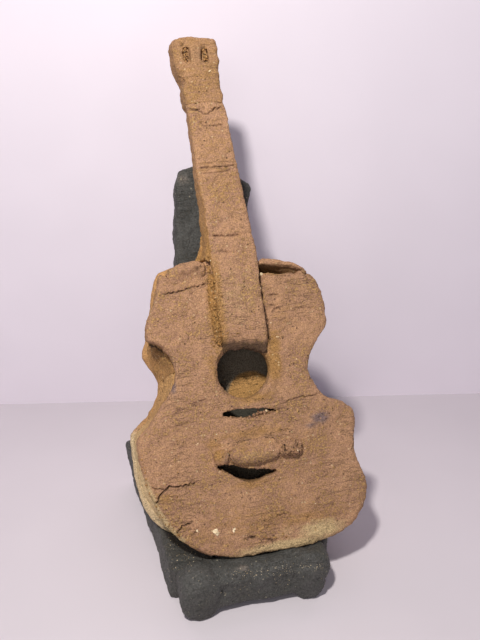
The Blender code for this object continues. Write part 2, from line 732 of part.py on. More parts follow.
def build_sides(frame, room, rest_room, black):
    front = FOOT_BACK + GAP
    long = SIDE_REAR - front
    profile = (
        (0, 0), (SIDE_PAD, 0), (SIDE_PAD + 2 * SIDE_ARCH, SIDE_ARCH),
        (long - SIDE_PAD - 2 * SIDE_ARCH, SIDE_ARCH), (long - SIDE_PAD, 0), (long, 0),
        (long, SIDE_REAR_HEIGHT * 0.8), (long - SIDE_REAR_HEIGHT * 0.08, SIDE_REAR_HEIGHT * 0.95),
        (long - SIDE_REAR_HEIGHT * 0.2, SIDE_REAR_HEIGHT), (long - SIDE_REAR_HEIGHT * 0.5, SIDE_REAR_HEIGHT),
        (long * 0.5, SIDE_FRONT_HEIGHT), (0, SIDE_FRONT_HEIGHT),
    )
    for name, sign in (("left_side", -1), ("right_side", 1)):
        body = slab(flat(profile), 0, SIDE_THICKNESS, SIDE_RIM)
        for vert in body.verts:
            along, inwards, up = vert.co
            splay = SIDE_SPLAY * along / long
            outer = SIDE_SPAN / 2 + splay - inwards
            vert.co = (STAND_SHIFT + sign * outer, front + along, up)
        made = add(name, body, frame, black)
        cut(made, room)
        cut(made, rest_room)


def centred(origin):
    """Moves everything so that the middle of the footprint box is at the world's origin."""
    bpy.context.view_layer.update()
    points = []
    for made in bpy.data.objects:
        if made.type == "MESH" and not made.hide_render:
            points += [made.matrix_world @ vert.co for vert in made.data.vertices]
    for axis in (0, 1):
        values = [point[axis] for point in points]
        origin.location[axis] = -(min(values) + max(values)) / 2
    origin.location.z = -min(point.z for point in points)


def main():
    for old in list(bpy.data.objects):
        bpy.data.objects.remove(old, do_unlink=True)
    brown = material("brown_clay", (0.39, 0.215, 0.122), 0.85)
    ochre = material("ochre_clay", (0.36, 0.19, 0.075), 0.9)
    buff = material("buff_clay", (0.42, 0.27, 0.14), 0.9)
    black = material("black_clay", (0.075, 0.07, 0.062), 0.7)
    origin = empty("origin")
    stand = empty("stand_frame", origin)
    charango = empty("charango_frame", origin)
    rest_frame = empty("rest_frame", stand)
    for leaning in (charango, rest_frame):
        leaning.rotation_euler = (-LEAN, 0, 0)
        leaning.location = (0, 0, SEAT_HEIGHT)
    build_body(charango, brown, ochre, buff)
    build_neck(charango, brown, ochre)
    build_bridge(charango, brown)
    room = envelope_cutter(charango)
    build_feet_and_rail(stand, room, black)
    add("back_rest", rest_slab(0), rest_frame, black)
    rest_room = add("rest_room", rest_slab(GAP), rest_frame, None)
    build_sides(stand, room, rest_room, black)
    centred(origin)


main()
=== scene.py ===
import math

import bpy
import numpy as np
from mathutils import Matrix, Vector
from mathutils.bvhtree import BVHTree


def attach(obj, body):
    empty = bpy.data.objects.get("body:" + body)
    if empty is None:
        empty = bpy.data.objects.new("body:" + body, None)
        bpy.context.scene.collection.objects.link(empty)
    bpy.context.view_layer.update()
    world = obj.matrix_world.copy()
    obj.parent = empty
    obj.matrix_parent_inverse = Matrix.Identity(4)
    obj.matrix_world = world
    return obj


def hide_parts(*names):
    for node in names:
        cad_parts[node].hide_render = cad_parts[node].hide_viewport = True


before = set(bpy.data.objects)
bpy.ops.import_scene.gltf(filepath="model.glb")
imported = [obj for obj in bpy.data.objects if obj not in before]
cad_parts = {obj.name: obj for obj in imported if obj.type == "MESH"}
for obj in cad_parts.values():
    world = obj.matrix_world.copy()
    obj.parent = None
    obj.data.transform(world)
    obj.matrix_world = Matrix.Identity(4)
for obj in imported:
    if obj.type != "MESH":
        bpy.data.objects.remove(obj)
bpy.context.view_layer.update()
scene = bpy.context.scene
print("frame loaded:", len(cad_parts), "nodes")

# the charango's own coordinates: x across, y into the body from the board's face, z up the neck
charangoPlace = {"lean": 27.0, "seat": (-0.000179, -0.069503, 0.0302)}
leanTurn = Matrix.Rotation(math.radians(-charangoPlace["lean"]), 4, "X")
boardToRow = Matrix.Translation(charangoPlace["seat"]) @ leanTurn
rowToRow = Matrix.Identity(4)
mm = 0.001


# camera at the photograph's angle
cameraLook = {"place": (-0.0884, -0.3655, 0.323), "pan": 14.0, "tilt": 25.0, "lens": 39.375}
pan, tilt = math.radians(cameraLook["pan"]), math.radians(cameraLook["tilt"])
ahead = Vector((math.sin(pan) * math.cos(tilt), math.cos(pan) * math.cos(tilt), -math.sin(tilt)))
cameraData = bpy.data.cameras.new("photoCamera")
cameraData.lens = cameraLook["lens"]
cameraData.sensor_width = 36.0
cameraData.clip_start, cameraData.clip_end = 0.01, 20.0
camera = bpy.data.objects.new("photoCamera", cameraData)
camera.location = cameraLook["place"]
camera.rotation_euler = ahead.to_track_quat("-Z", "Y").to_euler()
scene.collection.objects.link(camera)
scene.camera = camera
scene.view_settings.view_transform = "Standard"


# light: one key from high on the left in front, a weak wide fill by the camera, a pale room
lampLook = {
    "keyLamp": {"way": (-0.285, -0.498, 0.818), "far": 0.58, "size": 0.045, "power": 3.25,
        "colour": (1.0, 0.97, 0.92)},
    "fillLamp": {"way": (-0.34, -0.86, 0.40), "far": 1.3, "size": 0.5, "power": 1.6,
        "colour": (1.0, 0.97, 0.95)},
}
lampAim = Vector((0.0, 0.0, 0.12))
for name, look in lampLook.items():
    data = bpy.data.lights.new(name, "AREA")
    data.shape = "DISK"
    data.size = look["size"]
    data.energy = look["power"]
    data.color = look["colour"]
    lamp = bpy.data.objects.new(name, data)
    way = Vector(look["way"]).normalized()
    lamp.location = lampAim + way * look["far"]
    lamp.rotation_euler = (-way).to_track_quat("-Z", "Y").to_euler()
    scene.collection.objects.link(lamp)
print("camera and lamps set")


# material helpers
def paint(red, green, blue):
    # a colour as read on screen, made linear
    parts = []
    for part in (red, green, blue):
        part = part / 255.0
        parts.append(part / 12.92 if part <= 0.04045 else ((part + 0.055) / 1.055) ** 2.4)
    return (*parts, 1.0)


def addNode(tree, kind, feeds=None, **settings):
    made = tree.nodes.new(kind if kind.startswith("NodeGroup") else "ShaderNode" + kind)
    row, column = divmod(len(tree.nodes), 9)
    made.location = (column * 220, row * -320)
    for key, value in settings.items():
        setattr(made, key, value)
    for key, value in (feeds or {}).items():
        if isinstance(value, bpy.types.NodeSocket):
            tree.links.new(value, made.inputs[key])
        else:
            made.inputs[key].default_value = value
    return made


def blendColour(tree, share, first, second, way="MIX"):
    feeds = {0: share, 6: first, 7: second}
    return addNode(tree, "Mix", feeds, data_type="RGBA", blend_type=way).outputs[2]


def ease(tree, value, low, high, toLow=0.0, toHigh=1.0):
    feeds = {"Value": value, "From Min": low, "From Max": high, "To Min": toLow, "To Max": toHigh}
    return addNode(tree, "MapRange", feeds, interpolation_type="SMOOTHSTEP").outputs["Result"]


def combine(tree, way, first, second):
    return addNode(tree, "Math", {0: first, 1: second}, operation=way).outputs[0]


def times(tree, first, second):
    return combine(tree, "MULTIPLY", first, second)


def noiseAt(tree, place, scale, detail, roughness=0.5):
    feeds = {"Vector": place, "Scale": scale, "Detail": detail, "Roughness": roughness}
    return addNode(tree, "TexNoise", feeds).outputs["Fac"]


def cellsAt(tree, place, scale):
    feeds = {"Vector": place, "Scale": scale, "Randomness": 1.0}
    cells = addNode(tree, "TexVoronoi", feeds).outputs
    return cells["Distance"], addNode(tree, "SeparateColor", {"Color": cells["Color"]}).outputs


def newGroup(name, inputs, outputs):
    tree = bpy.data.node_groups.new(name, "ShaderNodeTree")
    tree.interface.new_socket(name="Place", in_out="INPUT", socket_type="NodeSocketVector")
    for label, value in inputs.items():
        socket = tree.interface.new_socket(name=label, in_out="INPUT", socket_type="NodeSocketFloat")
        socket.default_value = value
    for label in outputs:
        tree.interface.new_socket(name=label, in_out="OUTPUT", socket_type="NodeSocketFloat")
    return tree, addNode(tree, "NodeGroupInput").outputs


# the grain of open fired clay: slow mottle, sandy grain, pinholes, and a height from all of them
def makeGrainGroup():
    labels = ("Mottle", "Cloud", "Sand", "Specks", "Creases", "Pinholes", "Height")
    tree, given = newGroup("sandyGrain", {"Sand Size": 1100.0}, labels)
    place = given["Place"]
    drawn = addNode(tree, "Mapping", {"Vector": place, "Scale": (0.4, 1.0, 1.0)}).outputs[0]
    wiped = addNode(tree, "Mapping", {"Vector": place, "Scale": (0.2, 1.0, 1.0)}).outputs[0]
    mottle = noiseAt(tree, place, 52.0, 4.0, 0.6)
    cloud = noiseAt(tree, drawn, 420.0, 5.0, 0.75)
    sand = noiseAt(tree, place, given["Sand Size"], 2.0, 0.7)
    gather = ease(tree, mottle, 0.35, 0.7, -0.08, 0.08)    # specks gather in the mottle
    specks = combine(tree, "ADD", noiseAt(tree, place, 760.0, 3.0, 0.65), gather)
    specks = ease(tree, specks, 0.52, 0.62)
    fold = combine(tree, "SUBTRACT", noiseAt(tree, wiped, 240.0, 2.0, 0.55), 0.5)
    fold = ease(tree, combine(tree, "ABSOLUTE", fold, 0.0), 0.02, 0.004)
    creases = times(tree, fold, ease(tree, noiseAt(tree, place, 33.0, 1.0), 0.48, 0.64))
    far, few = cellsAt(tree, place, 430.0)
    pinholes = times(tree, ease(tree, far, 0.30, 0.12), ease(tree, few["Red"], 0.86, 0.92))
    height = times(tree, sand, 0.55)
    for layer, share in ((cloud, 0.8), (specks, 0.22), (creases, -0.45), (pinholes, -0.6)):
        height = combine(tree, "ADD", height, times(tree, layer, share))
    values = (mottle, cloud, sand, specks, creases, pinholes, height)
    addNode(tree, "NodeGroupOutput", dict(zip(labels, values)))
    return tree


# crushed grog in the clay: few small grains, paler or darker than the body
def makeGrogGroup():
    tree, given = newGroup("grogGrains", {"Spacing": 520.0, "Amount": 0.1}, ("Pale", "Dark"))
    far, split = cellsAt(tree, given["Place"], given["Spacing"])
    size = ease(tree, split["Blue"], 0.0, 1.0, 0.16, 0.36)
    inside = combine(tree, "LESS_THAN", far, size)
    paleHere = combine(tree, "LESS_THAN", split["Red"], given["Amount"])
    darkHere = combine(tree, "LESS_THAN", split["Green"], given["Amount"])
    addNode(tree, "NodeGroupOutput",
        {"Pale": times(tree, inside, paleHere), "Dark": times(tree, inside, darkHere)})
    return tree


grainGroup = makeGrainGroup()
grogGroup = makeGrogGroup()


def newPaint(name):
    made = bpy.data.materials.new(name)
    made.use_nodes = True
    tree = made.node_tree
    return made, tree, tree.nodes["Principled BSDF"], addNode(tree, "TexCoord").outputs["Object"]


# one fired clay: its body colours, and what the marks painted on a piece turn it into
def makeClay(name, look):
    look = {key: paint(*part) if isinstance(part, tuple) else part for key, part in look.items()}
    made, tree, shader, coords = newPaint(name)
    feeds = {"Place": coords, "Sand Size": look["sandSize"]}
    grain = addNode(tree, "Group", feeds, node_tree=grainGroup).outputs
    marks = addNode(tree, "Attribute", attribute_name="marks").outputs
    split = addNode(tree, "SeparateColor", {"Color": marks["Color"]}).outputs
    # more grog grains where the ochre mark lies: wear on the brown clays, and painted glints on the
    # stand's lit tops
    more = ease(tree, split["Green"], 0.3, 1.0, look["grogAmount"], look["grogWornAndGlint"])
    feeds = {"Place": coords, "Spacing": look["grogSpacing"], "Amount": more}
    grog = addNode(tree, "Group", feeds, node_tree=grogGroup).outputs
    ragged = times(tree, grain["Cloud"], 0.7)

    def raggedMask(socket):
        return ease(tree, combine(tree, "ADD", socket, ragged), 0.5, 1.05)

    mottle = ease(tree, grain["Mottle"], 0.35, 0.65)
    cloud = ease(tree, grain["Cloud"], 0.3, 0.7)
    sand = ease(tree, grain["Sand"], 0.25, 0.75, look["sandDark"], look["sandPale"])
    sandColour = addNode(tree, "CombineColor", {0: sand, 1: sand, 2: sand}).outputs[0]
    colour = blendColour(tree, mottle, look["body"], look["bodyTwo"])
    # besides the clay's own colours, the ochre and pale marks lay painted light and highlights on the
    # stand's tops, and the stain mark lays painted shade inside the body
    for layer, share in (
        ("warm", times(tree, cloud, look["warmShare"])),
        ("gold", times(tree, grain["Specks"], look["goldShare"])),
        ("ochre", raggedMask(split["Green"])),
        ("pale", raggedMask(split["Blue"])),
        ("stain", times(tree, raggedMask(marks["Alpha"]), 0.75)),
    ):
        colour = blendColour(tree, share, colour, look[layer])
    colour = blendColour(tree, 1.0, colour, sandColour, "MULTIPLY")
    # painted shade: pinholes, creases and the dark mark are darkened towards the deep colour
    for layer, share in (
        ("grogPale", times(tree, grog["Pale"], 0.5)),
        ("grogDark", times(tree, grog["Dark"], 0.35)),
        ("deep", times(tree, grain["Pinholes"], 0.4)),
        ("deep", times(tree, grain["Creases"], look["creaseShade"])),
        ("deep", split["Red"]),
    ):
        colour = blendColour(tree, share, colour, look[layer])
    rough = ease(tree, grain["Sand"], 0.2, 0.8, look["roughHigh"], look["roughLow"])
    feeds = {"Strength": look["bumpStrength"], "Distance": look["bumpDeep"], "Height": grain["Height"]}
    bump = addNode(tree, "Bump", feeds)
    tree.links.new(colour, shader.inputs["Base Color"])
    tree.links.new(rough, shader.inputs["Roughness"])
    tree.links.new(bump.outputs["Normal"], shader.inputs["Normal"])
    shader.inputs["Specular IOR Level"].default_value = look["specular"]
    return made


# deep is the painted shade colour that cracks, pits, creases, undersides and inner faces are darkened
# towards
brownLook = {
    "body": (179, 137, 108), "bodyTwo": (156, 118, 97), "warm": (186, 144, 101), "warmShare": 0.5,
    "gold": (198, 157, 94), "goldShare": 0.55, "ochre": (170, 128, 78), "pale": (205, 177, 132),
    "stain": (108, 96, 101), "deep": (52, 40, 31), "grogPale": (222, 196, 152), "grogDark": (112, 82, 60),
    "grogSpacing": 620.0, "grogAmount": 0.07, "grogWornAndGlint": 0.12, "sandSize": 1500.0, "sandDark": 0.58,
    "sandPale": 1.36, "roughHigh": 0.95, "roughLow": 0.8, "creaseShade": 0.18, "specular": 0.25,
    "bumpStrength": 1.0, "bumpDeep": 0.0011,
}
ochreLook = dict(
    brownLook, body=(170, 126, 80), bodyTwo=(148, 107, 66), warm=(188, 146, 90), ochre=(176, 130, 74),
    grogAmount=0.14,
)
buffLook = dict(
    brownLook, body=(222, 192, 143), bodyTwo=(205, 172, 124), warm=(228, 202, 152), gold=(214, 182, 132),
    pale=(224, 202, 162), ochre=(184, 142, 92), bumpDeep=0.0006,
)
# inside the body the grey stain colour and the deep colour are painted shade
backClayLook = dict(
    brownLook, ochre=(200, 152, 94), pale=(222, 196, 154), stain=(127, 131, 125), deep=(58, 57, 51),
)
grogLook = dict(
    brownLook, body=(240, 220, 184), bodyTwo=(222, 196, 152), warm=(246, 230, 198), grogAmount=0.02,
    bumpDeep=0.0003,
)
# on the stand the ochre colour is painted light on upward tops, the pale colour a painted highlight, the
# deep colour painted shade
blackLook = {
    "body": (75, 75, 71), "bodyTwo": (61, 62, 58), "warm": (82, 79, 76), "warmShare": 0.5,
    "gold": (92, 88, 78), "goldShare": 0.4, "ochre": (88, 82, 76), "pale": (132, 122, 112),
    "stain": (54, 56, 60), "deep": (28, 28, 26), "grogPale": (196, 188, 160), "grogDark": (40, 40, 36),
    "grogSpacing": 700.0, "grogAmount": 0.03, "grogWornAndGlint": 0.3, "sandSize": 1000.0, "sandDark": 0.6,
    "sandPale": 1.32, "roughHigh": 0.8, "roughLow": 0.5, "creaseShade": 0.1, "specular": 0.4,
    "bumpStrength": 0.9, "bumpDeep": 0.0009,
}
clays = {
    "brown_clay": makeClay("brownClay", brownLook), "ochre_clay": makeClay("ochreClay", ochreLook),
    "buff_clay": makeClay("buffClay", buffLook), "black_clay": makeClay("blackClay", blackLook),
    "grog": makeClay("paleGrog", grogLook), "back": makeClay("backClay", backClayLook),
}
print("clays mixed:", len(clays))


# modelling helpers
def setMode(mode):
    bpy.ops.object.mode_set(mode=mode)


def selectOnly(obj):
    if bpy.context.mode != "OBJECT":
        setMode("OBJECT")
    bpy.ops.object.select_all(action="DESELECT")
    obj.select_set(True)
    bpy.context.view_layer.objects.active = obj


def joinAll(pieces):
    bpy.ops.object.select_all(action="DESELECT")
    for piece in pieces:
        piece.select_set(True)
    bpy.context.view_layer.objects.active = pieces[0]
    bpy.ops.object.join()
    return pieces[0]


def useModifier(obj, name, kind, **settings):
    selectOnly(obj)
    made = obj.modifiers.new(name, kind)
    for key, value in settings.items():
        setattr(made, key, value)
    bpy.ops.object.modifier_apply(modifier=made.name)


def useGrid(piece, size):
    useModifier(piece, "clayGrid", "REMESH", mode="VOXEL", voxel_size=size, adaptivity=0.0)


def cloudTexture(size, kind):
    made = bpy.data.textures.new("clayClouds", "CLOUDS")
    made.noise_scale = size
    made.noise_depth = 2
    made.cloud_type = kind
    return made


# a merged copy of a CAD node, in the charango's or the stand's own coordinates
def copyNode(node, name, place):
    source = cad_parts[node]
    piece = bpy.data.objects.new(name, source.data.copy())
    scene.collection.objects.link(piece)
    piece.data.materials.clear()
    selectOnly(piece)
    setMode("EDIT")
    bpy.ops.mesh.select_all(action="SELECT")
    bpy.ops.mesh.remove_doubles(threshold=0.00001)
    setMode("OBJECT")
    piece.data.transform(place.inverted())
    return piece


def treeOf(piece):
    corners = [vertex.co.copy() for vertex in piece.data.vertices]
    return BVHTree.FromPolygons(corners, [list(face.vertices) for face in piece.data.polygons])


# the skin that neighbouring pieces share once their joints are smeared over with wet clay
def smearedSkin(nodes, place, grid, fill):
    skin = joinAll([copyNode(node, "skin", place) for node in nodes])
    useGrid(skin, grid)
    for name, amount in (("slip", fill), ("slipOff", -fill)):
        useModifier(skin, name, "DISPLACE", strength=amount, mid_level=0.0)
        useGrid(skin, grid)
    useModifier(skin, "smeared", "SMOOTH", factor=0.5, iterations=3)
    tree = treeOf(skin)
    bpy.data.objects.remove(skin)
    return tree


# draws a piece on to the shared skin where it is close to a neighbour
def smearOnto(piece, look):
    points, _ = readPoints(piece)
    share = np.zeros(len(points))
    for node, reach, *where in look["smear"]:
        neighbour = copyNode(node, "neighbour", look["frame"])
        corners = np.array([vertex.co for vertex in neighbour.data.vertices])
        tree = treeOf(neighbour)
        bpy.data.objects.remove(neighbour)
        near = ((points > corners.min(0) - reach) & (points < corners.max(0) + reach)).all(1)
        if where:
            near &= where[0](points)
        for number in np.nonzero(near)[0]:
            far = tree.find_nearest(Vector(points[number]), reach)[3]
            if far is not None:
                share[number] = max(share[number], min(1.0, 1.4 * (1.0 - far / reach)))
    skin, skinReach = look["skin"], 0.004
    for number in np.nonzero(share > 0.0)[0]:
        spot = skin.find_nearest(Vector(points[number]), skinReach)[0]
        if spot is not None:
            points[number] += (np.array(spot) - points[number]) * share[number]
    writePoints(piece, points)


# a CAD node as hand-worked clay
def workClay(look):
    piece = copyNode(look["node"], look["node"] + "Clay", look["frame"])
    useGrid(piece, look["voxel"])
    useModifier(piece, "thumbed", "SMOOTH", factor=0.5, iterations=look["soften"])
    if look.get("smear"):
        smearOnto(piece, look)
        useModifier(piece, "wiped", "SMOOTH", factor=0.5, iterations=1)
    if look["swell"]:
        useModifier(piece, "pressedTogether", "DISPLACE", strength=look["swell"], mid_level=0.0)
    for name, kind, way in (("wobble", "COLOR", "RGB_TO_XYZ"), ("grit", "GRAYSCALE", "NORMAL")):
        for size, amount in look[name]:
            useModifier(piece, name, "DISPLACE", texture=cloudTexture(size, kind), texture_coords="LOCAL",
                direction=way, strength=amount, mid_level=0.5)
    return piece


# marks on a piece: dark tone and painted shade in cracks, pits, undersides and inner faces; ochre bloom,
# and painted light on the stand's tops; pale wear, and painted highlights on the stand; grey stain, and
# painted shade inside the body
darkAndShadeMark, ochreAndLightMark, paleAndHighlightMark, stainMark = range(4)


def addMark(marks, channel, amount):
    marks[:, channel] = np.maximum(marks[:, channel], amount)


def unit(values):
    return np.clip(values, 0.0, 1.0)


# one in the middle and falling off on all sides, from distances over their widths
def bell(*parts):
    return np.exp(-sum(part ** 2 for part in parts))


def readPoints(piece):
    count = len(piece.data.vertices)
    points, ways = np.empty(count * 3), np.empty(count * 3)
    piece.data.vertices.foreach_get("co", points)
    piece.data.vertex_normals.foreach_get("vector", ways)
    return points.reshape(-1, 3), ways.reshape(-1, 3)


def writePoints(piece, points):
    piece.data.vertices.foreach_set("co", points.ravel())
    piece.data.update()


def writeMarks(piece, marks):
    attribute = piece.data.attributes.new("marks", "FLOAT_COLOR", "POINT")
    attribute.data.foreach_set("color", unit(marks).ravel())


# a crack's path, made to wander a little between its points
def wander(corners, seed, step=1.1, by=0.28):
    chance = np.random.default_rng(seed)
    path = []
    for first, second in zip(corners, corners[1:]):
        first, second = np.array(first, float), np.array(second, float)
        count = max(2, int(np.linalg.norm(second - first) / step))
        for k in range(count):
            path.append(first + (second - first) * k / count)
    path.append(np.array(corners[-1], float))
    path = np.array(path)
    path[1:-1] += chance.normal(0.0, by, (len(path) - 2, 2))
    return path


# distance of points from a path and how far along it they are, both in the plane of the board
def alongPath(across, up, path):
    best = np.full(len(across), 1e9)
    share = np.zeros(len(across))
    count = len(path) - 1
    for k in range(count):
        start, run = path[k], path[k + 1] - path[k]
        t = ((across - start[0]) * run[0] + (up - start[1]) * run[1]) / max(run @ run, 1e-9)
        t = unit(t)
        far = np.hypot(across - start[0] - t * run[0], up - start[1] - t * run[1])
        closer = far < best
        best[closer] = far[closer]
        share[closer] = (k + t[closer]) / count
    return best, share


# the points of one side within a path's box, with their distance from it and share along it
def nearPath(points, ways, path, reach, side):
    across, up = points[:, 0] / mm, points[:, 2] / mm
    low, high = path.min(0) - reach, path.max(0) + reach
    near = (across > low[0]) & (across < high[0]) & (up > low[1]) & (up < high[1]) & side(points, ways)
    index = np.nonzero(near)[0]
    return index, *alongPath(across[index], up[index], path)


# faces along the cracks are divided, so a fine crack has edges to bend
def divideAlong(piece, cracks, reach, side, cuts):
    points, ways = readPoints(piece)
    chosen = np.zeros(len(points), bool)
    for crack in cracks:
        index, far, _ = nearPath(points, ways, crack["path"], reach, side)
        chosen[index[far < reach]] = True
    selectOnly(piece)
    setMode("EDIT")
    bpy.ops.mesh.select_mode(type="VERT")
    bpy.ops.mesh.select_all(action="DESELECT")
    setMode("OBJECT")
    piece.data.vertices.foreach_set("select", chosen)
    setMode("EDIT")
    bpy.ops.mesh.select_mode(type="FACE")
    bpy.ops.mesh.subdivide(number_cuts=cuts)
    setMode("OBJECT")


def frontSide(points, ways):
    return (ways[:, 1] < -0.35) & (points[:, 1] < 0.004)


# a crack's width, depth, painted shade in its bottom and tapered share, and then its points
def crackAt(wide, deep, dark, taper, *at, **more):
    return dict(more, wide=wide, deep=deep, dark=dark, taper=taper, at=at)


# presses cracks into a piece, with painted shade darkening its bottom and slightly raised lips
def pressCracks(points, ways, marks, cracks, side):
    lipHigh, lipAway = 0.16, 2.3
    for crack in cracks:
        wide = crack["wide"]
        index, far, share = nearPath(points, ways, crack["path"], wide * 5, side)
        ends = 1.0 - share if crack.get("openStart") else np.minimum(share, 1.0 - share)
        fade = unit(ends / crack["taper"])
        deep = crack["deep"] * fade * (0.75 + 0.25 * np.sin(share * 37.0))
        bottom = bell(far / wide)
        lip = lipHigh * bell((far - lipAway * wide) / wide)
        points[index] -= ways[index] * ((bottom - lip) * deep * mm)[:, None]
        # painted shade: the crack's bottom is darkened as if in shadow
        dark = crack["dark"] * fade * bell(far / wide / 0.8)
        marks[index, darkAndShadeMark] = np.maximum(marks[index, darkAndShadeMark], dark)


# thumb dents and pits: (x, y, z, radius, depth, painted shade in the hollow) in millimetres
def pressDents(points, ways, marks, dents):
    for x, y, z, radius, deep, dark in dents:
        far = np.linalg.norm(points / mm - np.array((x, y, z)), axis=1) / radius
        index = np.nonzero(far < 2.2)[0]
        fall = np.exp(-far[index] ** 2 * 1.6)
        points[index] -= ways[index] * (fall * deep * mm)[:, None]
        # painted shade darkens the bottom of each dent and pit
        pitShade = dark * np.exp(-far[index] ** 2 * 2.5)
        marks[index, darkAndShadeMark] = np.maximum(marks[index, darkAndShadeMark], pitShade)


# scattered pits and grains at seeded places on the surface, with painted shade in the pits
def scatterPits(points, ways, marks, seed, count, radius, deep, dark, side=None):
    chance = np.random.default_rng(seed)
    choice = np.arange(len(points)) if side is None else np.nonzero(side(points, ways))[0]
    for number in chance.choice(choice, count):
        size = chance.uniform(*radius)
        down = chance.uniform(*deep)
        pitShade = chance.uniform(0.0, dark)
        pressDents(points, ways, marks, [(*(points[number] / mm), size, down, pitShade)])


# soft patches of colour on the face: (x, z, half width, half height, amount)
def paintAll(points, marks, look):
    across, up = points[:, 0] / mm, points[:, 2] / mm
    for channel, name in ((ochreAndLightMark, "ochre"), (paleAndHighlightMark, "pale"), (stainMark, "stain")):
        for x, z, wide, high, amount in look.get(name, []):
            addMark(marks, channel, amount * bell((across - x) / wide, (up - z) / high))


def finishClay(piece, look, points, marks):
    body = look["body"]
    writePoints(piece, points)
    writeMarks(piece, marks)
    piece.data.transform(look["frame"])
    piece.data.materials.append(clays[look.get("mix", look["clay"])])
    selectOnly(piece)
    bpy.ops.object.shade_smooth()
    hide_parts(look["node"])
    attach(piece, body)
    print(look["node"], "worked:", len(piece.data.polygons), "faces")


charangoSkin = smearedSkin(
    ["soundboard", "left_shoulder_coil", "right_shoulder_coil", "neck", "headstock", "heel", "bridge_bar",
        "bridge_left_pad", "bridge_right_pad", "upper_left_rib", "upper_right_rib", "lower_left_rib",
        "lower_right_rib", "back_slab"],
    boardToRow, 0.0009, 0.0012)
standSkin = smearedSkin(["front_rail", "left_front_foot", "right_front_foot", "left_side", "right_side"],
    rowToRow, 0.001, 0.004)
print("joints smeared over")

charangoLook = {
    "body": "charango", "clay": "brown_clay", "frame": boardToRow, "skin": charangoSkin, "swell": 0.0,
}
handWobble = [(0.016, 0.002), (0.005, 0.0011)]


# soundboard: cracks, torn slots, thumb dents, ochre bloom by the bridge, pale tail
soundboardLook = dict(
    charangoLook, node="soundboard", voxel=0.00075, soften=4, wobble=handWobble,
    grit=[(0.0035, 0.0008), (0.0014, 0.0006)],
    smear=[("left_shoulder_coil", 0.003), ("bridge_bar", 0.002), ("bridge_left_pad", 0.002),
        ("bridge_right_pad", 0.002), ("right_shoulder_coil", 0.004, lambda spots: spots[:, 0] > 0.0415)],
    cracks=[
        crackAt(0.45, 2, 0.85, 0.25, (-60, 37.5), (-57.9, 38.8), (-54.3, 43.8), (-49.7, 46.5),
            (-44.7, 46), (-41.3, 45.7), (-37.8, 46.5), (-32, 46.2), openStart=True),
        crackAt(0.4, 1.2, 0.55, 0.3, (-62, 48.3), (-58, 46.6), (-54.3, 45.5), (-50, 46.4)),
        crackAt(0.5, 1.8, 0.85, 0.3, (-48.5, 19.8), (-45.4, 23.3), (-42.5, 23.7), (-39, 25),
            openStart=True),
        crackAt(0.6, 1.2, 0.7, 0.3, (-39.4, 18.5), (-38.4, 19.3), (-36.5, 21.2)),
        crackAt(0.38, 1.1, 0.6, 0.25, (17.2, 84), (21, 84.9), (27.4, 86.3), (33.7, 86.8), (41.2, 86.9),
            (46.9, 88)),
        crackAt(0.5, 0.7, 0.3, 0.3, (-37.4, 91.1), (-31.7, 91), (-23.4, 92.8), (-19.7, 94)),
        crackAt(0.6, 0.6, 0.25, 0.3, (-49.1, 78.5), (-39.2, 80), (-31.6, 81.8)),
        crackAt(0.42, 1.5, 0.7, 0.1, (-43.7, 154.6), (-39.9, 154.8), (-34, 155.6), (-26.2, 156.8),
            (-19.2, 158.1), (-14.6, 159.4)),
        crackAt(0.45, 0.8, 0.5, 0.3, (19.3, 148.6), (26.7, 148.5)),
        crackAt(0.45, 0.9, 0.6, 0.3, (18.7, 142.8), (24.1, 142.2)),
        crackAt(0.45, 0.9, 0.6, 0.3, (20.7, 139.6), (27, 140.2)),
        crackAt(0.4, 0.5, 0.3, 0.3, (34.9, 139.4), (47.3, 138.7)),
        crackAt(0.45, 0.5, 0.25, 0.3, (23.4, 157.1), (44.8, 154.6)),
        crackAt(0.7, 1.6, 0.9, 0.1, (15.6, 170.9), (15.2, 160.9), (15.9, 146), (17, 134.1), (17.4, 122.3),
            (17.3, 117.6)),
        crackAt(0.8, 1.4, 0.8, 0.3, (-9.5, 10.9), (-6, 10.6), (-2.6, 9.8)),
        crackAt(0.7, 1.1, 0.55, 0.3, (-0.4, 8.3), (4, 7.6), (9, 6.1)),
        crackAt(0.45, 0.4, 0.2, 0.3, (1.2, 22.4), (17.9, 20.3))],
    dents=[(-30, 0, 60, 14, 0.7, 0), (34, 0, 40, 16, 0.8, 0), (38, 0, 128, 12, 0.6, 0),
        (-30, 0, 135, 13, 0.7, 0), (-25, 0, 30, 12, 0.5, 0), (50, 0, 62, 9, 0.6, 0),
        (36, 0, 26.5, 1, 0.9, 0.7), (22, 0, 30, 1.1, 0.7, 0.4)],
    ochre=[(-22, 66, 7, 7, 0.5), (2, 70, 26, 4.5, 0.5), (-14, 58, 6, 6, 0.4), (18, 108, 6, 13, 0.8),
        (4, 90, 16, 4, 0.6), (-2, 41, 20, 3.5, 0.5), (-14, 140, 5, 34, 0.6), (19, 120, 6, 10, 0.75),
        (-18, 112, 4, 12, 0.5), (2, 20, 48, 12, 0.36), (30, 58, 22, 10, 0.3), (28, 135, 14, 14, 0.3),
        (24, 163, 14, 3.5, 0.6), (-52, 40, 7, 5, 0.45), (-36, 16, 14, 5, 0.35), (28, 17, 26, 7, 0.45)],
    pale=[(15, 2.8, 34, 3.6, 0.78), (36, 8.5, 17, 6, 0.75), (-12, 0.5, 18, 2.2, 0.5),
        (22, 10, 26, 6, 0.3)],
    wornEdge=[(-43.5, 12), (-47, 15.6), (-53, 23.8), (-58, 32.9), (-61.6, 44), (-63.6, 53), (-64.4, 60)],
    stain=[(43, 73.5, 6.5, 4.2, 0.8), (36.5, 69.5, 5, 2.2, 0.55), (-42, 103, 2.2, 6.5, 0.7),
        (8, 24, 7, 5, 0.25)],
)


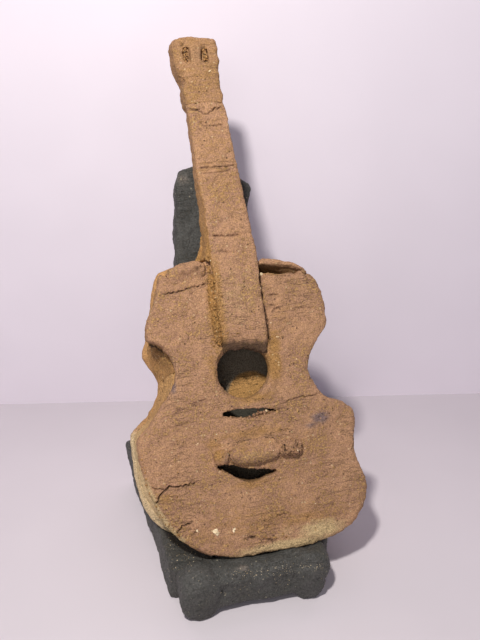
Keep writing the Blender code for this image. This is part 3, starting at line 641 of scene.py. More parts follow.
def ragSlots(points):
    x, _, z = points.T    # views, so that moving them moves the points
    # the torn slots and the hole's lip are rougher than the open face
    across, up = x / mm, z / mm
    slots = [wander([(-17, 82), (18, 80.2)], 3, by=0.0), wander([(-22, 53), (17, 45.5)], 4, by=0.0)]
    near = np.zeros(len(points))
    for path in slots:
        far, _ = alongPath(across, up, path)
        near = np.maximum(near, bell(far / 5.0))
    # the right shoulder's edge is filled out below the coil
    edge = np.interp(across, (16, 20, 28, 32, 36, 40, 42, 44),
        (161.9, 160.7, 159, 156.8, 154.8, 152.8, 154.5, 157.9))
    full = np.interp(across, (16, 20, 28, 36, 42, 44), (161.9, 161.2, 160.8, 160.2, 159.6, 158.6))
    lift = np.interp(across, (15, 18, 44, 46), (0.0, 1.0, 1.0, 0.0)) * np.maximum(full - edge, 0.0)
    z += lift * unit((up - edge + 14.0) / 14.0) * mm
    # the lower slot's lip sags in its middle
    sag = bell((across - 1.5) / 8.0, (up - 44.0) / 3.2)
    z -= 1.7 * mm * sag * (up < 46.5)
    # the upper slot is pinched towards its right end
    pinch = np.interp(across, (-18, -8, 2, 16, 22), (0.0, 0.25, 0.9, 0.8, 0.0))
    z -= bell((up - 82.0) / 5.0) * pinch * np.sign(up - 81.8) * mm
    ring = np.abs(np.hypot(across, up - 106.0) - 16.0)
    near = np.maximum(near, 0.6 * bell(ring / 2.0))
    wave = np.sin(across * 2.9 + np.sin(up * 2.3)) * np.sin(up * 3.1 + across * 0.7)
    wave += 0.6 * np.sin(across * 5.3 + 1.0) * np.sin(up * 6.1 + 2.0)
    z += near * wave * 0.45 * mm
    x += near * np.roll(wave, 1) * 0.25 * mm


soundboard = workClay(soundboardLook)
for number, crack in enumerate(soundboardLook["cracks"]):
    crack["path"] = wander(crack["at"], 20 + number)
divideAlong(soundboard, soundboardLook["cracks"], 1.6, frontSide, 2)
points, ways = readPoints(soundboard)
marks = np.zeros((len(points), 4))
ragSlots(points)
pressDents(points, ways, marks, soundboardLook["dents"])
pressCracks(points, ways, marks, soundboardLook["cracks"], frontSide)
scatterPits(points, ways, marks, 5, 170, (0.5, 1.1), (0.25, 0.8), 0.6, frontSide)
scatterPits(points, ways, marks, 6, 120, (0.5, 0.9), (-0.5, -0.2), 0.0, frontSide)
paintAll(points, marks, soundboardLook)
rim = unit((points[:, 1] - 0.0015) / 0.004)
addMark(marks, ochreAndLightMark, 0.6 * rim)
across, up = points[:, 0] / mm, points[:, 2] / mm
far, share = alongPath(across, up, np.array(soundboardLook["wornEdge"], float))
wearAndLitTop = bell(far / 2.6) * unit(np.minimum(share / 0.12, (1.0 - share) / 0.35))
addMark(marks, paleAndHighlightMark, 0.8 * wearAndLitTop)
points[:, 1] += 0.0012 * wearAndLitTop * (points[:, 1] < 0.003)
# painted shade on the board's inner face behind the slots
inner = unit((points[:, 1] - 0.002) / 0.003) * (np.abs(across) < 40) * (up > 40) * (up < 90)
addMark(marks, darkAndShadeMark, 0.5 * inner)
finishClay(soundboard, soundboardLook, points, marks)


# every other clay piece, from its look
def simplePiece(seed, look, **own):
    look = dict(look, **own)
    piece = workClay(look)
    cracks = look.get("cracks", [])
    side = look.get("side", frontSide)
    for number, crack in enumerate(cracks):
        crack["path"] = wander(crack["at"], seed + number, by=crack.get("wander", 0.3))
    if cracks:
        divideAlong(piece, cracks, 1.5, side, 1)
    points, ways = readPoints(piece)
    marks = np.zeros((len(points), 4))
    pressCracks(points, ways, marks, cracks, side)
    pressDents(points, ways, marks, look.get("dents", []))
    scatterPits(points, ways, marks, seed, *look.get("pits", (40, (0.5, 1.1), (0.2, 0.7), 0.5)))
    paintAll(points, marks, look)
    if "shade" in look:
        look["shade"](points, ways, marks)
    upright = np.array(look["frame"].to_3x3().transposed() @ Vector((0.0, 0.0, 1.0)))
    clear = 0.0002    # nothing goes below the table
    sunk = np.minimum(points @ upright + look["frame"].translation.z - clear, 0.0)
    points -= sunk[:, None] * upright
    finishClay(piece, look, points, marks)


def neckShade(points, ways, marks):
    x, y, z = points.T
    # the lapped tongue breaks off in a slope that overhangs the sound hole, darkened as painted shade
    across = x / mm
    arc = 106.0 + np.sqrt(np.maximum(17.5 ** 2 - across ** 2, 121.0))
    broken = np.interp(across, (-12, -9, -5, -1, 4, 10, 15),
        (116.8, 118.2, 119.2, 119.6, 118.6, 116.2, 114.8))
    broken += 0.25 * np.sin(across * 0.8 + 1.0) + 0.2 * np.sin(across * 1.9)
    end = unit((131.0 - z / mm) / (131.0 - arc)) * (y < 0.0005)
    z -= np.maximum(arc - broken, 0.0) * end ** 2 * mm
    y += 0.0040 * end ** 2.2 * (y < -0.0005)
    ragged = (np.interp(across, (-13, 17), (126.6, 123.6)) + 0.4 * np.sin(across * 0.9)
        + 0.3 * np.sin(across * 2.3)) * mm
    flare = unit((0.186 - z) / 0.014) * unit(-ways[:, 0])
    x -= 0.003 * flare ** 2 * (z > 0.172) * (y > -0.003)
    # painted shade on the broken end above the hole
    slope = unit((ragged - z) / 0.0035)
    addMark(marks, darkAndShadeMark, 0.8 * slope)
    side = unit(-ways[:, 0] * 1.6 - 0.4) * np.interp(z, (0.17, 0.20, 0.24), (0.75, 0.55, 0.3))
    addMark(marks, ochreAndLightMark, side)
    low = unit((0.185 - z) / 0.02) * unit((-0.006 - x) / 0.004)
    addMark(marks, ochreAndLightMark, 0.55 * low)


neckLook = dict(
    charangoLook, node="neck", voxel=0.0007, soften=9, swell=0.0001, wobble=handWobble,
    grit=[(0.0035, 0.0008), (0.0013, 0.0005)],
    smear=[("headstock", 0.004), ("heel", 0.003), ("left_shoulder_coil", 0.002)],
    cracks=[crackAt(0.4, 0.9, 0.5, 0.12, (-9.9, 249), (-3, 248.6), (3.1, 249.3), wander=0.1),
        crackAt(0.5, 1.2, 0.6, 0.06, (-14.3, 224.5), (-3, 224.4), (8.1, 225.4), wander=0.1),
        crackAt(0.4, 0.8, 0.4, 0.12, (-14.1, 221.4), (-5, 221.3), (4.1, 221.9), wander=0.1),
        crackAt(0.45, 0.8, 0.45, 0.12, (-11.2, 184.8), (-2, 184.4), (5.9, 184.3), wander=0.12),
        crackAt(0.45, 0.6, 0.35, 0.2, (-9.2, 176.2), (-2.3, 175.1)),
        crackAt(0.42, 1, 0.6, 0.05, (-16.4, 258.8), (-11.2, 258), (-8.5, 255.9), (-5.6, 256),
            (-1.2, 258.4), (4.2, 258.9))],
    pits=(90, (0.5, 1), (-0.3, 0.7), 0.5), shade=neckShade, ochre=[(-5, 230, 30, 50, 0.3)],
    pale=[(0, 150, 18, 28, 0.27)],
)
simplePiece(60, neckLook)


def headShade(points, ways, marks):
    addMark(marks, ochreAndLightMark, 0.4)
    addMark(marks, darkAndShadeMark, 0.08)
    tired = bell((points[:, 2] - 0.292) / 0.010, (points[:, 0] + 0.006) / 0.012)
    addMark(marks, stainMark, 0.3 * tired)


headLook = dict(
    charangoLook, node="headstock", voxel=0.00065, soften=3, swell=0.0002, wobble=handWobble,
    grit=[(0.0035, 0.0007), (0.0013, 0.00045)], smear=[("neck", 0.003)],
    dents=[(-15.2, -1, 298.4, 1.6, 1.4, 0.9), (-14, -1, 293.5, 2, 1.2, 0.5),
        (-13.6, -1, 288.5, 1.8, 1.2, 0.6), (-2.8, -1, 290.3, 2, 2, 0.95),
        (-2.8, -1, 295.8, 1.8, 1.2, 0.7), (-18.5, -2, 276, 3.5, 1.8, 0.35), (-17, -2, 281, 2.2, 0.9, 0.3)],
    pits=(70, (0.5, 1.1), (-0.3, 0.8), 0.5), shade=headShade,
)
simplePiece(70, headLook)


def backShade(points, ways, marks):
    x, _, z = points.T
    inside = unit(-ways[:, 1] * 2.0 - 0.6) * (np.abs(x) < 0.034)
    inside *= (z > 0.03) * (z < 0.15)
    addMark(marks, ochreAndLightMark, inside)
    # painted shade: the inner face away from the lit patch under the hole is darkened and greyed
    away = unit((np.hypot(x - 0.0095, z - 0.0885) - 0.0135) / 0.004)
    away = np.maximum(away, unit((0.0875 - z) / 0.002))
    deep = np.interp(z, (0.064, 0.070, 0.0862, 0.0875), (0.02, 0.88, 0.88, 0.06))
    addMark(marks, darkAndShadeMark, deep * inside * away)
    addMark(marks, stainMark, 0.9 * inside * away)
    rim = unit(-x / 0.02) * unit((0.7 - ways[:, 1]) * 4.0) * (1.0 - inside)
    low = unit((0.082 - z) / 0.016)
    addMark(marks, paleAndHighlightMark, rim * low)
    addMark(marks, ochreAndLightMark, 0.5 * rim * (1.0 - low))


def rearSide(points, ways):
    return (ways[:, 1] > 0.35) & (points[:, 1] > 0.034)


backLook = dict(
    charangoLook, node="back_slab", mix="back", voxel=0.0009, soften=4,
    wobble=[(0.016, 0.0014), (0.005, 0.0007)], grit=[(0.0035, 0.0004), (0.0015, 0.0003)], side=rearSide,
    cracks=[crackAt(0.6, 1.1, 0.7, 0.25, (48, 84), (36, 87), (24, 86)),
        crackAt(0.6, 1.2, 0.7, 0.25, (-50, 42), (-40, 46), (-33, 45))],
    pits=(120, (0.6, 1.2), (-0.4, 0.7), 0.5), shade=backShade,
    dents=[(-55.8, 30, 21.9, 1.1, 1, 0.95), (-52.4, 30.4, 16.4, 1, 0.8, 0.8),
        (-62.3, 30.5, 31.3, 0.9, 0.7, 0.7)],
    smear=[("lower_left_rib", 0.003), ("upper_left_rib", 0.003)],
)
simplePiece(80, backLook)


def leftWall(points, ways):
    return (ways[:, 0] < -0.2) & (points[:, 0] < 0.0)


ribLook = dict(
    charangoLook, clay="ochre_clay", voxel=0.0008, soften=3, swell=0.0002,
    wobble=[(0.014, 0.001), (0.005, 0.0007)], grit=[(0.003, 0.0005), (0.0014, 0.0003)], side=leftWall,
)


def upperLeftShade(points, ways, marks):
    # painted shade on the wall's inner faces
    inner = unit((ways[:, 0] - 0.2) * 3.0)
    addMark(marks, darkAndShadeMark, 0.5 * inner)


def lowerLeftShade(points, ways, marks):
    upperLeftShade(points, ways, marks)
    addMark(marks, ochreAndLightMark, 0.75 * unit((points[:, 2] - 0.058) / 0.030))


def upperRightShade(points, ways, marks):
    wayX, wayY, wayZ = ways.T
    # painted shade on the inner faces and the shoulder's front, seen through the gap under the coil
    inner = unit(-(wayX + wayZ) * 1.2)
    edge = unit(-wayY) * (points[:, 2] > 0.14)
    addMark(marks, darkAndShadeMark, 0.6 * np.maximum(inner, edge))


wallPits = [
    (-60.5, 26.9, 33.6, 1.4, 1.3, 1), (-61.4, 25.2, 35.2, 1.1, 1.1, 0.95),
    (-56.8, 26.9, 26.1, 1.2, 1.2, 1), (-64.9, 26.3, 54, 1, 0.9, 0.85),
    (-65.3, 28.6, 65.7, 1, 0.8, 0.85), (-63.2, 27.3, 41.6, 0.9, 0.8, 0.8),
    (-64.6, 23, 47.5, 0.9, 0.8, 0.7), (-65.2, 22, 60, 0.9, 0.8, 0.7),
    (-58.2, 22.5, 28, 1, 0.9, 0.8),
]
simplePiece(90, ribLook, node="lower_left_rib", clay="buff_clay", pits=(190, (0.5, 1.3), (0.3, 1.3), 0.95),
    shade=lowerLeftShade, dents=wallPits, smear=[("back_slab", 0.003), ("upper_left_rib", 0.004)])
simplePiece(100, ribLook, node="lower_right_rib", clay="brown_clay")
simplePiece(110, ribLook, node="upper_left_rib", shade=upperLeftShade,
    smear=[("back_slab", 0.003), ("lower_left_rib", 0.004)],
    cracks=[crackAt(0.8, 1.8, 0.9, 0.2, (-53, 128.4), (-48, 124.5), (-43.4, 120.3))])
simplePiece(120, ribLook, node="upper_right_rib", shade=upperRightShade)

coilLook = dict(
    charangoLook, clay="ochre_clay", voxel=0.0006, soften=3, swell=0.0003,
    wobble=[(0.012, 0.0014), (0.004, 0.001)], grit=[(0.0028, 0.0006), (0.0012, 0.0003)],
    pits=(40, (0.5, 1.1), (-0.4, 0.8), 0.6),
)


def leftCoilShade(points, ways, marks):
    x, y, z = points.T
    # wiped flush with the board on its left, so that only its right end stands out
    wiped = unit((-0.0320 - x) / 0.003)
    wiped = np.maximum(wiped, unit((0.1650 - z) / 0.0015))
    y += wiped * (np.maximum(y, -0.0003) - y)
    front = wiped * (y < 0.004)
    low = unit((0.1655 - z) / 0.004)
    z -= 0.0022 * front * low
    y += 0.0004 * front * low
    lump = np.exp(-((x + 0.027) / 0.0065) ** 4 - ((z - 0.1682) / 0.0026) ** 4)
    y -= 0.0016 * lump * (y < 0.002)


def rightCoilShade(points, ways, marks):
    x, y, z = points.T
    _, _, wayZ = ways.T
    # thins towards its right end, so that the gap under it runs nearly level
    across, up = x / mm, z / mm
    low = np.interp(across, (16, 20, 28, 32, 36, 40, 44), (164.4, 163.7, 161.8, 159.8, 158, 156, 156.3))
    high = np.interp(across, (16, 20, 24, 28, 32, 36, 40, 44),
        (169.8, 170.8, 170, 169, 168, 165.5, 163.5, 162.6))
    under = np.interp(across, (16, 20, 28, 34, 40, 44), (166, 165.6, 164.4, 163.2, 161.8, 159.5))
    crest = np.interp(across, (15, 20, 28, 35, 40, 44.5), (170.6, 170.8, 169.4, 167.2, 164.8, 162.4))
    front = unit((0.0062 - y) / 0.004)
    z += front * (under + (up - low) / (high - low) * (crest - under) - up) * mm
    wiped = unit((x - 0.0405) / 0.003)
    y += wiped * (np.maximum(y, -0.0003) - y)
    front = wiped * (y < 0.004)
    low = unit(-wayZ)
    z -= 0.0024 * front * low
    y -= 0.0005 * front * low
    addMark(marks, ochreAndLightMark, 0.6 * unit(-wayZ))
    # painted shade on the coil's underside
    addMark(marks, darkAndShadeMark, 0.6 * unit(-wayZ * 1.5 - 0.3))


simplePiece(130, coilLook, node="left_shoulder_coil", clay="brown_clay", shade=leftCoilShade,
    wobble=handWobble, grit=soundboardLook["grit"],
    smear=[("soundboard", 0.003), ("upper_left_rib", 0.002)],
    dents=[(-20.5, -1, 167.5, 2.4, 1.8, 0.7), (-23.5, -1, 166.2, 1.5, 1, 0.5)])
simplePiece(140, coilLook, node="right_shoulder_coil", clay="brown_clay", shade=rightCoilShade,
    smear=[("upper_right_rib", 0.002), ("soundboard", 0.004, lambda spots: spots[:, 0] > 0.0415)])


def filletShade(points, ways, marks):
    x, y, z = points.T
    # pressed in against the tongue, and rough all over
    edge = np.interp(z, (0.118, 0.173), (-0.0125, -0.0135))
    x += 0.35 * np.clip(edge - x, 0.0, None)
    y *= np.where(y < 0.0, 0.65, 1.0)
    chance = np.random.default_rng(151)
    points += ways * chance.normal(0.0, 0.00022, (len(points), 1))
    addMark(marks, ochreAndLightMark, 0.5)


simplePiece(150, coilLook, node="neck_fillet", voxel=0.0005, swell=0.0004, shade=filletShade,
    wobble=[(0.008, 0.002), (0.0035, 0.0016)], grit=[(0.002, 0.0016), (0.001, 0.0008)],
    pits=(90, (0.5, 1.2), (-0.6, 1.0), 0.8))


def heelShade(points, ways, marks):
    low = unit((0.190 - points[:, 2]) / 0.018) ** 2
    points[:, 0] -= 0.0065 * low * unit(-ways[:, 0] + 0.2)


simplePiece(160, coilLook, node="heel", shade=heelShade, dents=[(-14.5, 10, 183, 2.0, 1.5, 0.8)])

bridgeLook = dict(
    charangoLook, voxel=0.0005, soften=3, swell=0.0003, wobble=[(0.01, 0.0012), (0.004, 0.0008)],
    grit=[(0.002, 0.0005), (0.001, 0.0003)], pits=(30, (0.5, 1), (-0.3, 0.6), 0.5),
)


def barShade(points, ways, marks):
    x, y, z = points.T
    flat = -0.0037 + 0.0006 * np.sin(x * 700.0) * np.sin(z * 900.0)
    y[:] = np.maximum(y, flat)
    ledge = unit((0.0575 - z) / 0.0025) * (y < -0.0008)
    y += 0.75 * ledge * (-0.0037 - y)    # its lower edge is a sharp ledge
    slope = unit((z - 0.0585) / 0.006)
    y += slope * 0.72 * (np.maximum(y, -0.0002) - y)
    z += 0.0022 * slope * unit(ways[:, 2])
    # painted shade on the bar's underside
    under = unit(-ways[:, 2] * 1.5 - 0.2)
    addMark(marks, darkAndShadeMark, 0.45 * under)


def knobShade(points, ways, marks):
    points[:, 1] *= np.where(points[:, 1] < 0.0, 0.78, 1.0)
    # painted shade on the knob's underside and its right side
    under = unit(-ways[:, 2] * 1.5 - 0.3)
    edge = unit(ways[:, 0] * 1.5 - 0.4)
    addMark(marks, darkAndShadeMark, 0.5 * np.maximum(under, edge))


simplePiece(170, bridgeLook, node="bridge_bar", shade=barShade, wobble=[(0.009, 0.0016), (0.0035, 0.0013)],
    grit=[(0.002, 0.0008), (0.001, 0.0004)], ochre=[(-6, 62, 5, 3, 0.45), (8, 63, 8, 2, 0.35)],
    pale=[(0, 58, 14, 3, 0.3)],
    smear=[("soundboard", 0.002), ("bridge_left_pad", 0.002), ("bridge_right_pad", 0.002)])
simplePiece(180, bridgeLook, node="bridge_left_pad", grit=[(0.0022, 0.0011), (0.001, 0.0004)],
    stain=[(-17, 57, 3, 3, 0.35)], ochre=[(-21, 61, 5, 5, 0.7)],
    cracks=[crackAt(0.7, 1.6, 0.95, 0.1, (-14.4, 63), (-13.6, 58), (-14.6, 54.6))],
    dents=[(-14.5, -2, 57, 1.8, 1.6, 0.9), (-16.5, -2, 60, 1.2, 0.9, 0.5)])
simplePiece(190, bridgeLook, node="bridge_right_pad", grit=[(0.0026, 0.0024), (0.0012, 0.001)],
    stain=[(20, 63, 4, 2.5, 0.35), (27, 58, 2, 5, 0.35)], pits=(90, (0.6, 1.3), (-0.7, 1.2), 0.9),
    dents=[(22.8, -4.5, 60.6, 2.4, 1.6, 0.45), (18.4, -4, 60, 1.4, 1.2, 0.8)], shade=knobShade,
    cracks=[crackAt(0.7, 1.5, 0.9, 0.1, (18.6, 65), (17.6, 61), (18.4, 56.5)),
        crackAt(0.6, 1.2, 0.85, 0.1, (20.5, 64.4), (24.5, 64), (26.6, 61), (26, 57.5))])


# crumbs of clay and grog, small faceted lumps that stick to the finished pieces
def clayTrees(*names):
    return [treeOf(bpy.data.objects[name + "Clay"]) for name in names]


boardTrees = clayTrees("soundboard", "neck", "headstock", "neck_fillet", "bridge_bar", "bridge_left_pad",
    "bridge_right_pad", "left_shoulder_coil", "right_shoulder_coil")
boardInward = boardToRow.to_3x3() @ Vector((0.0, 1.0, 0.0))


# the first clay met on the way in from a place, and how it faces
def firstHit(trees, start, inward, reach=0.12):
    hits = [tree.ray_cast(start, inward, reach) for tree in trees]
    hits = [hit for hit in hits if hit[0] is not None]
    return min(hits, key=lambda hit: hit[3], default=(None, None))[:2]


def surfaceAt(x, z):
    return firstHit(boardTrees, boardToRow @ Vector((x * mm, -0.06, z * mm)), boardInward)


# crumbs: (x, z, radius, share sunk into the surface), or with a depth behind the board's face
def makeCrumbs(name, clay, seed, crumbs, body="charango", surface=surfaceAt):
    chance = np.random.default_rng(seed)
    fullTurn = 6.28
    made = []
    for x, z, radius, sunk, *deep in crumbs:
        spot, way = (boardToRow @ Vector((x * mm, deep[0] * mm, z * mm)), None) if deep else surface(x, z)
        if spot is None:
            continue
        if way is not None:
            spot = spot - way * radius * sunk * mm
        bpy.ops.mesh.primitive_ico_sphere_add(subdivisions=2 if radius > 1.1 else 1, radius=radius * mm)
        crumb = bpy.context.active_object
        count = len(crumb.data.vertices)
        shape = np.empty(count * 3)
        crumb.data.vertices.foreach_get("co", shape)
        shape = shape.reshape(-1, 3) * chance.uniform(0.55, 1.3, 3)
        shape *= 1.0 + chance.normal(0.0, 0.2, (count, 1))
        crumb.data.vertices.foreach_set("co", shape.ravel())
        tipped, turned = [Matrix.Rotation(chance.uniform(0, fullTurn), 4, axis) for axis in "XZ"]
        crumb.data.transform(Matrix.Translation(spot) @ (tipped @ turned))
        made.append(crumb)
    piece = joinAll(made)
    piece.name = name
    piece.data.materials.clear()
    piece.data.materials.append(clays[clay])
    writeMarks(piece, np.zeros((len(piece.data.vertices), 4)))
    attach(piece, body)
    print(name, "stuck on:", len(made), "crumbs")


def crumbsAlong(path, seed, count, spread, sizes, sunk):
    chance = np.random.default_rng(seed)
    path = wander(path, seed, by=0.0)
    picks = chance.integers(0, len(path), count)
    places = path[picks] + chance.normal(0.0, spread, (count, 2))
    return [(x, z, chance.uniform(*sizes), sunk) for x, z in places]


def crumbsOver(box, seed, count, sizes, sunk):
    chance = np.random.default_rng(seed)
    left, low, right, high = box
    return [(chance.uniform(left, right), chance.uniform(low, high), chance.uniform(*sizes), sunk)
        for _ in range(count)]


crumbLook = {
    "peg": [(-0.9, -3.4, 0.8, 0.6), (0.6, -2.2, 0.9, 0.9), (-0.5, -0.6, 0.8, 0.7), (0.7, 0.6, 0.7, 1.2),
        (-0.6, 1.9, 0.9, 0.8), (0.5, 3.1, 0.8, 1), (1, -0.4, 0.6, 0.4), (-1, 3.6, 0.6, 0.4)],
    "fillet": [(-15.4, 173), (-13.3, 160.2), (-12.3, 148.6), (-12.4, 137), (-14.5, 122.8)],
    "bright": [(-37.2, 19.6, 1.4, 0.3), (-26.5, 17.3, 2.2, 0.3), (-16.1, 16.6, 1.3, 0.4),
        (-1.3, 281.4, 1.1, 0.5), (-14.1, 295, 0.9, 0.4), (-2, 288.6, 0.9, 0.3), (16.6, 161.5, 1.1, 0.3),
        (18.8, 161.8, 0.9, 0.3), (-13.2, 171.2, 0.8, 0.4), (25.5, 57.6, 0.8, 0.4), (-15.3, 60.5, 0.8, 0.4),
        (11.0, 81.4, 0.8, 0.4, 1.6)],
    "slot": [(3.5, 79.6, 1.2, 0, 2.2), (5.6, 80.1, 1.4, 0, 2.6), (7.8, 80.6, 1.3, 0, 2.0),
        (9.9, 80.2, 1.5, 0, 2.4), (12, 80.5, 1.2, 0, 2.1), (14.1, 80.1, 1.2, 0, 2.2),
        (15.6, 80.3, 1, 0, 1.8), (6.4, 81.8, 0.9, 0, 3.2), (10.6, 82, 0.9, 0, 2.8),
        (0.9, 79.3, 0.9, 0, 2), (-4.6, 79.3, 0.8, 0, 1.6), (-10.8, 80.2, 0.9, 0, 1.8)],
}
makeCrumbs("filletCrumbs", "ochre_clay", 301,
    crumbsAlong(crumbLook["fillet"], 302, 190, 1.4, (0.35, 1.1), 0.35))
makeCrumbs("slotCrumbs", "brown_clay", 303, crumbLook["slot"]
    + crumbsAlong([(-17, 80.0), (-4, 78.6), (8, 78.9), (18, 79.4)], 304, 26, 0.6, (0.35, 0.7), 0.5)
    + crumbsAlong([(-16, 82.5), (-9.5, 85.6), (5, 84), (17, 80.8)], 305, 22, 0.5, (0.35, 0.7), 0.5))
makeCrumbs("holeCrumbs", "ochre_clay", 322,
    crumbsAlong([(15, 97), (18.2, 104), (18.4, 113), (15.5, 121)], 323, 34, 1.4, (0.35, 0.85), 0.5)
    + crumbsAlong([(-17.5, 118), (-18.8, 109), (-17.2, 99)], 324, 14, 1.2, (0.3, 0.7), 0.5)
    + crumbsAlong([(-11, 128), (0, 129.5), (12, 128.5)], 325, 18, 1.5, (0.3, 0.7), 0.5))
makeCrumbs("bridgeCrumbs", "brown_clay", 306,
    crumbsOver((17, 55, 29, 66), 307, 34, (0.45, 1.1), 0.4)
    + crumbsAlong([(20, 65), (26, 64), (28.2, 60), (26.6, 56), (20, 55)], 326, 40, 0.7, (0.4, 1.0), 0.4)
    + crumbsOver((-24, 54, -13, 64), 308, 26, (0.45, 1.0), 0.4)
    + crumbsAlong([(-12, 53.6), (14, 54.0)], 309, 18, 0.5, (0.35, 0.7), 0.45))
makeCrumbs("headCrumbs", "ochre_clay", 310,
    [(-14.3 + dx, 292.5 + dz, size, 0, -1.5 + deep) for dx, dz, size, deep in crumbLook["peg"]]
    + [(-2.8 - dx, 292.4 - dz, size, 0, -1.4 + deep) for dx, dz, size, deep in crumbLook["peg"]]
    + crumbsAlong([(-15, 299), (-14, 287)], 311, 10, 0.9, (0.35, 0.7), 0.4)
    + crumbsAlong([(-2.9, 297.5), (-2.8, 287.5)], 312, 10, 0.9, (0.35, 0.7), 0.4)
    + crumbsAlong([(-20, 284), (-17, 272)], 313, 12, 1.2, (0.4, 0.9), 0.45))
makeCrumbs("boardGrains", "brown_clay", 314,
    crumbsOver((-52, 10, 52, 76), 315, 60, (0.3, 0.65), 0.45)
    + crumbsOver((-38, 95, 42, 160), 316, 40, (0.3, 0.6), 0.45)
    + crumbsAlong([(15.4, 168), (16, 146), (17.4, 120)], 317, 26, 0.9, (0.35, 0.8), 0.45)
    + crumbsAlong([(-43, 155), (-19, 158.4)], 318, 16, 0.8, (0.35, 0.7), 0.45))
makeCrumbs("goldGrains", "ochre_clay", 340,
    crumbsOver((-52, 8, 52, 52), 341, 120, (0.3, 0.62), 0.5)
    + crumbsOver((-56, 48, 56, 78), 342, 50, (0.3, 0.55), 0.5)
    + crumbsAlong([(-64, 68), (-63.5, 52), (-60.5, 38), (-55, 28), (-47, 18)], 344, 90, 1.0, (0.35, 0.8),
        0.4)
    + crumbsAlong([(1, 9), (15, 7.4)], 345, 16, 1.0, (0.4, 0.8), 0.4)
    + crumbsOver((-38, 95, 44, 160), 343, 45, (0.3, 0.55), 0.5))
makeCrumbs("paleGrains", "grog", 319, crumbLook["bright"]
    + crumbsOver((-50, 12, 50, 76), 320, 16, (0.3, 0.5), 0.5)
    + crumbsOver((-36, 100, 40, 158), 321, 8, (0.3, 0.5), 0.5))


# the stand, near-black clay
def standShade(points, ways, marks):
    x, y, z = points.T
    # upward faces: a paler ochre tint and more pale grog specks as painted light and glints, and darkening
    # as painted shadow under the charango's tail
    wearAndLitTop = unit(ways[:, 2] * 1.4 - 0.5)
    addMark(marks, ochreAndLightMark, 0.2 * wearAndLitTop)
    addMark(marks, darkAndShadeMark, 0.2 * wearAndLitTop)
    # a pale spot on the rail's crest: painted highlight
    spot = bell((x + 0.014) / 0.004, (y + 0.0745) / 0.003)
    addMark(marks, paleAndHighlightMark, 0.5 * spot * (z > 0.022))


def leftSideShade(points, ways, marks):
    x, y, z = points.T
    # wet clay fills the corner between this slab, the foot and the rail
    standShade(points, ways, marks)
    inner = unit((x + 0.051) / 0.006)
    fill = inner * np.interp(y, (-0.062, -0.056, -0.046, -0.034), (1.0, 0.95, 0.6, 0.0))
    x += 0.0165 * fill
    rear = unit((y + 0.02) / 0.06) * unit(z / 0.035)
    x -= 0.0036 * rear    # its raised end leans outwards
    z -= 0.0025 * fill * unit((z - 0.015) / 0.01)


def rightFootShade(points, ways, marks):
    x, _, z = points.T
    standShade(points, ways, marks)
    low = unit((0.020 - z) / 0.020)
    x -= 0.0045 * low * unit(ways[:, 0])
    notch = bell((z - 0.0135) / 0.0022) * unit(ways[:, 0])
    x -= 0.0022 * notch


standLook = {
    "body": "stand", "clay": "black_clay", "frame": rowToRow, "skin": standSkin, "swell": 0.0,
    "voxel": 0.0009, "soften": 5, "wobble": [(0.018, 0.0026), (0.007, 0.0014)],
    "grit": [(0.004, 0.0008), (0.0015, 0.0003)], "pits": (60, (0.7, 1.6), (-0.4, 0.7), 0.4),
}
standJoints = {
    "front_rail": ("left_front_foot", "right_front_foot"), "left_front_foot": ("front_rail", "left_side"),
    "right_front_foot": ("front_rail", "right_side"), "left_side": ("left_front_foot",),
    "right_side": ("right_front_foot",),
}
for number, (name, others) in enumerate(standJoints.items()):
    joints = [(other, 0.007) for other in others]
    shade = {"right_front_foot": rightFootShade, "left_side": leftSideShade}.get(name, standShade)
    simplePiece(200 + 10 * number, standLook, node=name, smear=joints, shade=shade)


def restShade(points, ways, marks):
    x, _, z = points.T
    standShade(points, ways, marks)
    # painted shade on the rest's lower front, below its lit top
    addMark(marks, darkAndShadeMark, np.interp(z, (0.214, 0.227), (0.42, 0.15)))
    chip = bell((x + 0.0175) / 0.006, (z - 0.229) / 0.005)
    addMark(marks, paleAndHighlightMark, 0.45 * chip * (ways[:, 1] < -0.3))


simplePiece(260, standLook, node="back_rest", frame=boardToRow, shade=restShade)
standTrees = clayTrees(*standJoints)


def standTopAt(x, y):
    # the clay met when looking down on the stand from in front
    down = Vector((0.0, 0.7, -0.72))
    return firstHit(standTrees, Vector((x * mm, y * mm, 0.024)) - down * 0.08, down)


# pale grog grains on the stand's tops and crest: partly grog in the clay, partly painted glints where
# light catches the crest
makeCrumbs("standGrainsAndGlints", "grog", 330,
    crumbsOver((-36, -92, 38, -66), 331, 70, (0.1, 0.24), 0.4)
    + crumbsAlong([(-22, -74), (8, -78), (36, -80)], 333, 130, 2.2, (0.1, 0.27), 0.4)
    + crumbsOver((-56, -64, -28, -40), 334, 50, (0.12, 0.3), 0.35)
    + crumbsOver((-54, -78, -38, -30), 332, 50, (0.1, 0.26), 0.4), "stand", standTopAt)


# stage: a plain pale table and the pale wall behind it
stageLook = {
    "table": paint(217, 209, 215), "tableRadius": 0.62, "wall": paint(241, 232, 242),
    "wallFoot": (0.039, 0.1475, 0.0), "wallTurn": -11.5, "wallSize": (0.9, 0.8), "wallPower": 0.95,
    "room": (0.86, 0.87, 1.0, 1.0), "roomPower": 0.23,
}


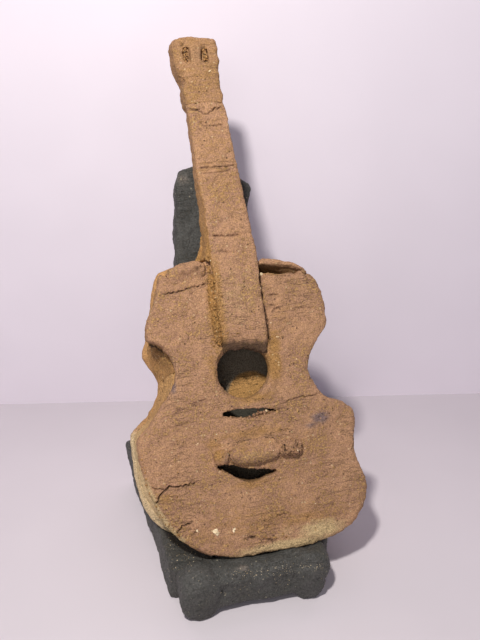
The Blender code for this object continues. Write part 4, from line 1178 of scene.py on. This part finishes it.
def plainPaint(name, colour, oneSided):
    made, tree, shader, coords = newPaint(name)
    tint = ease(tree, noiseAt(tree, coords, 9.0, 2.0), 0.3, 0.7)
    darker = tuple(part * 0.96 for part in colour[:3]) + (1.0,)
    tree.links.new(blendColour(tree, tint, darker, colour), shader.inputs["Base Color"])
    shader.inputs["Roughness"].default_value = 0.9
    shader.inputs["Specular IOR Level"].default_value = 0.1
    if oneSided:
        geometry = addNode(tree, "NewGeometry")
        clear = addNode(tree, "BsdfTransparent")
        mixed = addNode(tree, "MixShader",
            {0: geometry.outputs["Backfacing"], 1: shader.outputs[0], 2: clear.outputs[0]})
        tree.links.new(mixed.outputs[0], tree.nodes["Material Output"].inputs["Surface"])
    return made


bpy.ops.mesh.primitive_circle_add(vertices=128, radius=stageLook["tableRadius"], fill_type="NGON")
table = bpy.context.active_object
table.name = "paleTable"
table.data.materials.append(plainPaint("paleTablePaint", stageLook["table"], False))
bpy.ops.mesh.primitive_plane_add(size=1.0)
wall = bpy.context.active_object
wall.name = "paleWall"
wallWide, wallHigh = stageLook["wallSize"]
upright = Matrix.Rotation(math.radians(90), 4, "X") @ Matrix.Translation((0.0, wallHigh / 2, 0.0))
wallTurn = Matrix.Rotation(math.radians(stageLook["wallTurn"]), 4, "Z")
turned = Matrix.Translation(stageLook["wallFoot"]) @ wallTurn
wall.data.transform(turned @ upright @ Matrix.Diagonal((wallWide, wallHigh, 1.0, 1.0)))
wall.data.materials.append(plainPaint("paleWallPaint", stageLook["wall"], True))

room = bpy.data.worlds.new("paleRoom")
scene.world = room
room.use_nodes = True
roomTree = room.node_tree
behind = roomTree.nodes["Background"]
behind.inputs["Color"].default_value = stageLook["room"]
behind.inputs["Strength"].default_value = stageLook["roomPower"]
seen = addNode(roomTree, "Background",
    {"Color": stageLook["wall"], "Strength": stageLook["wallPower"]})
way = addNode(roomTree, "LightPath").outputs
straight = combine(roomTree, "ADD", way["Is Camera Ray"], way["Is Glossy Ray"])
straight = combine(roomTree, "ADD", straight, way["Is Transmission Ray"])
shown = addNode(roomTree, "MixShader", {0: straight, 1: behind.outputs[0], 2: seen.outputs[0]})
roomTree.links.new(shown.outputs[0], roomTree.nodes["World Output"].inputs["Surface"])
print("stage set")
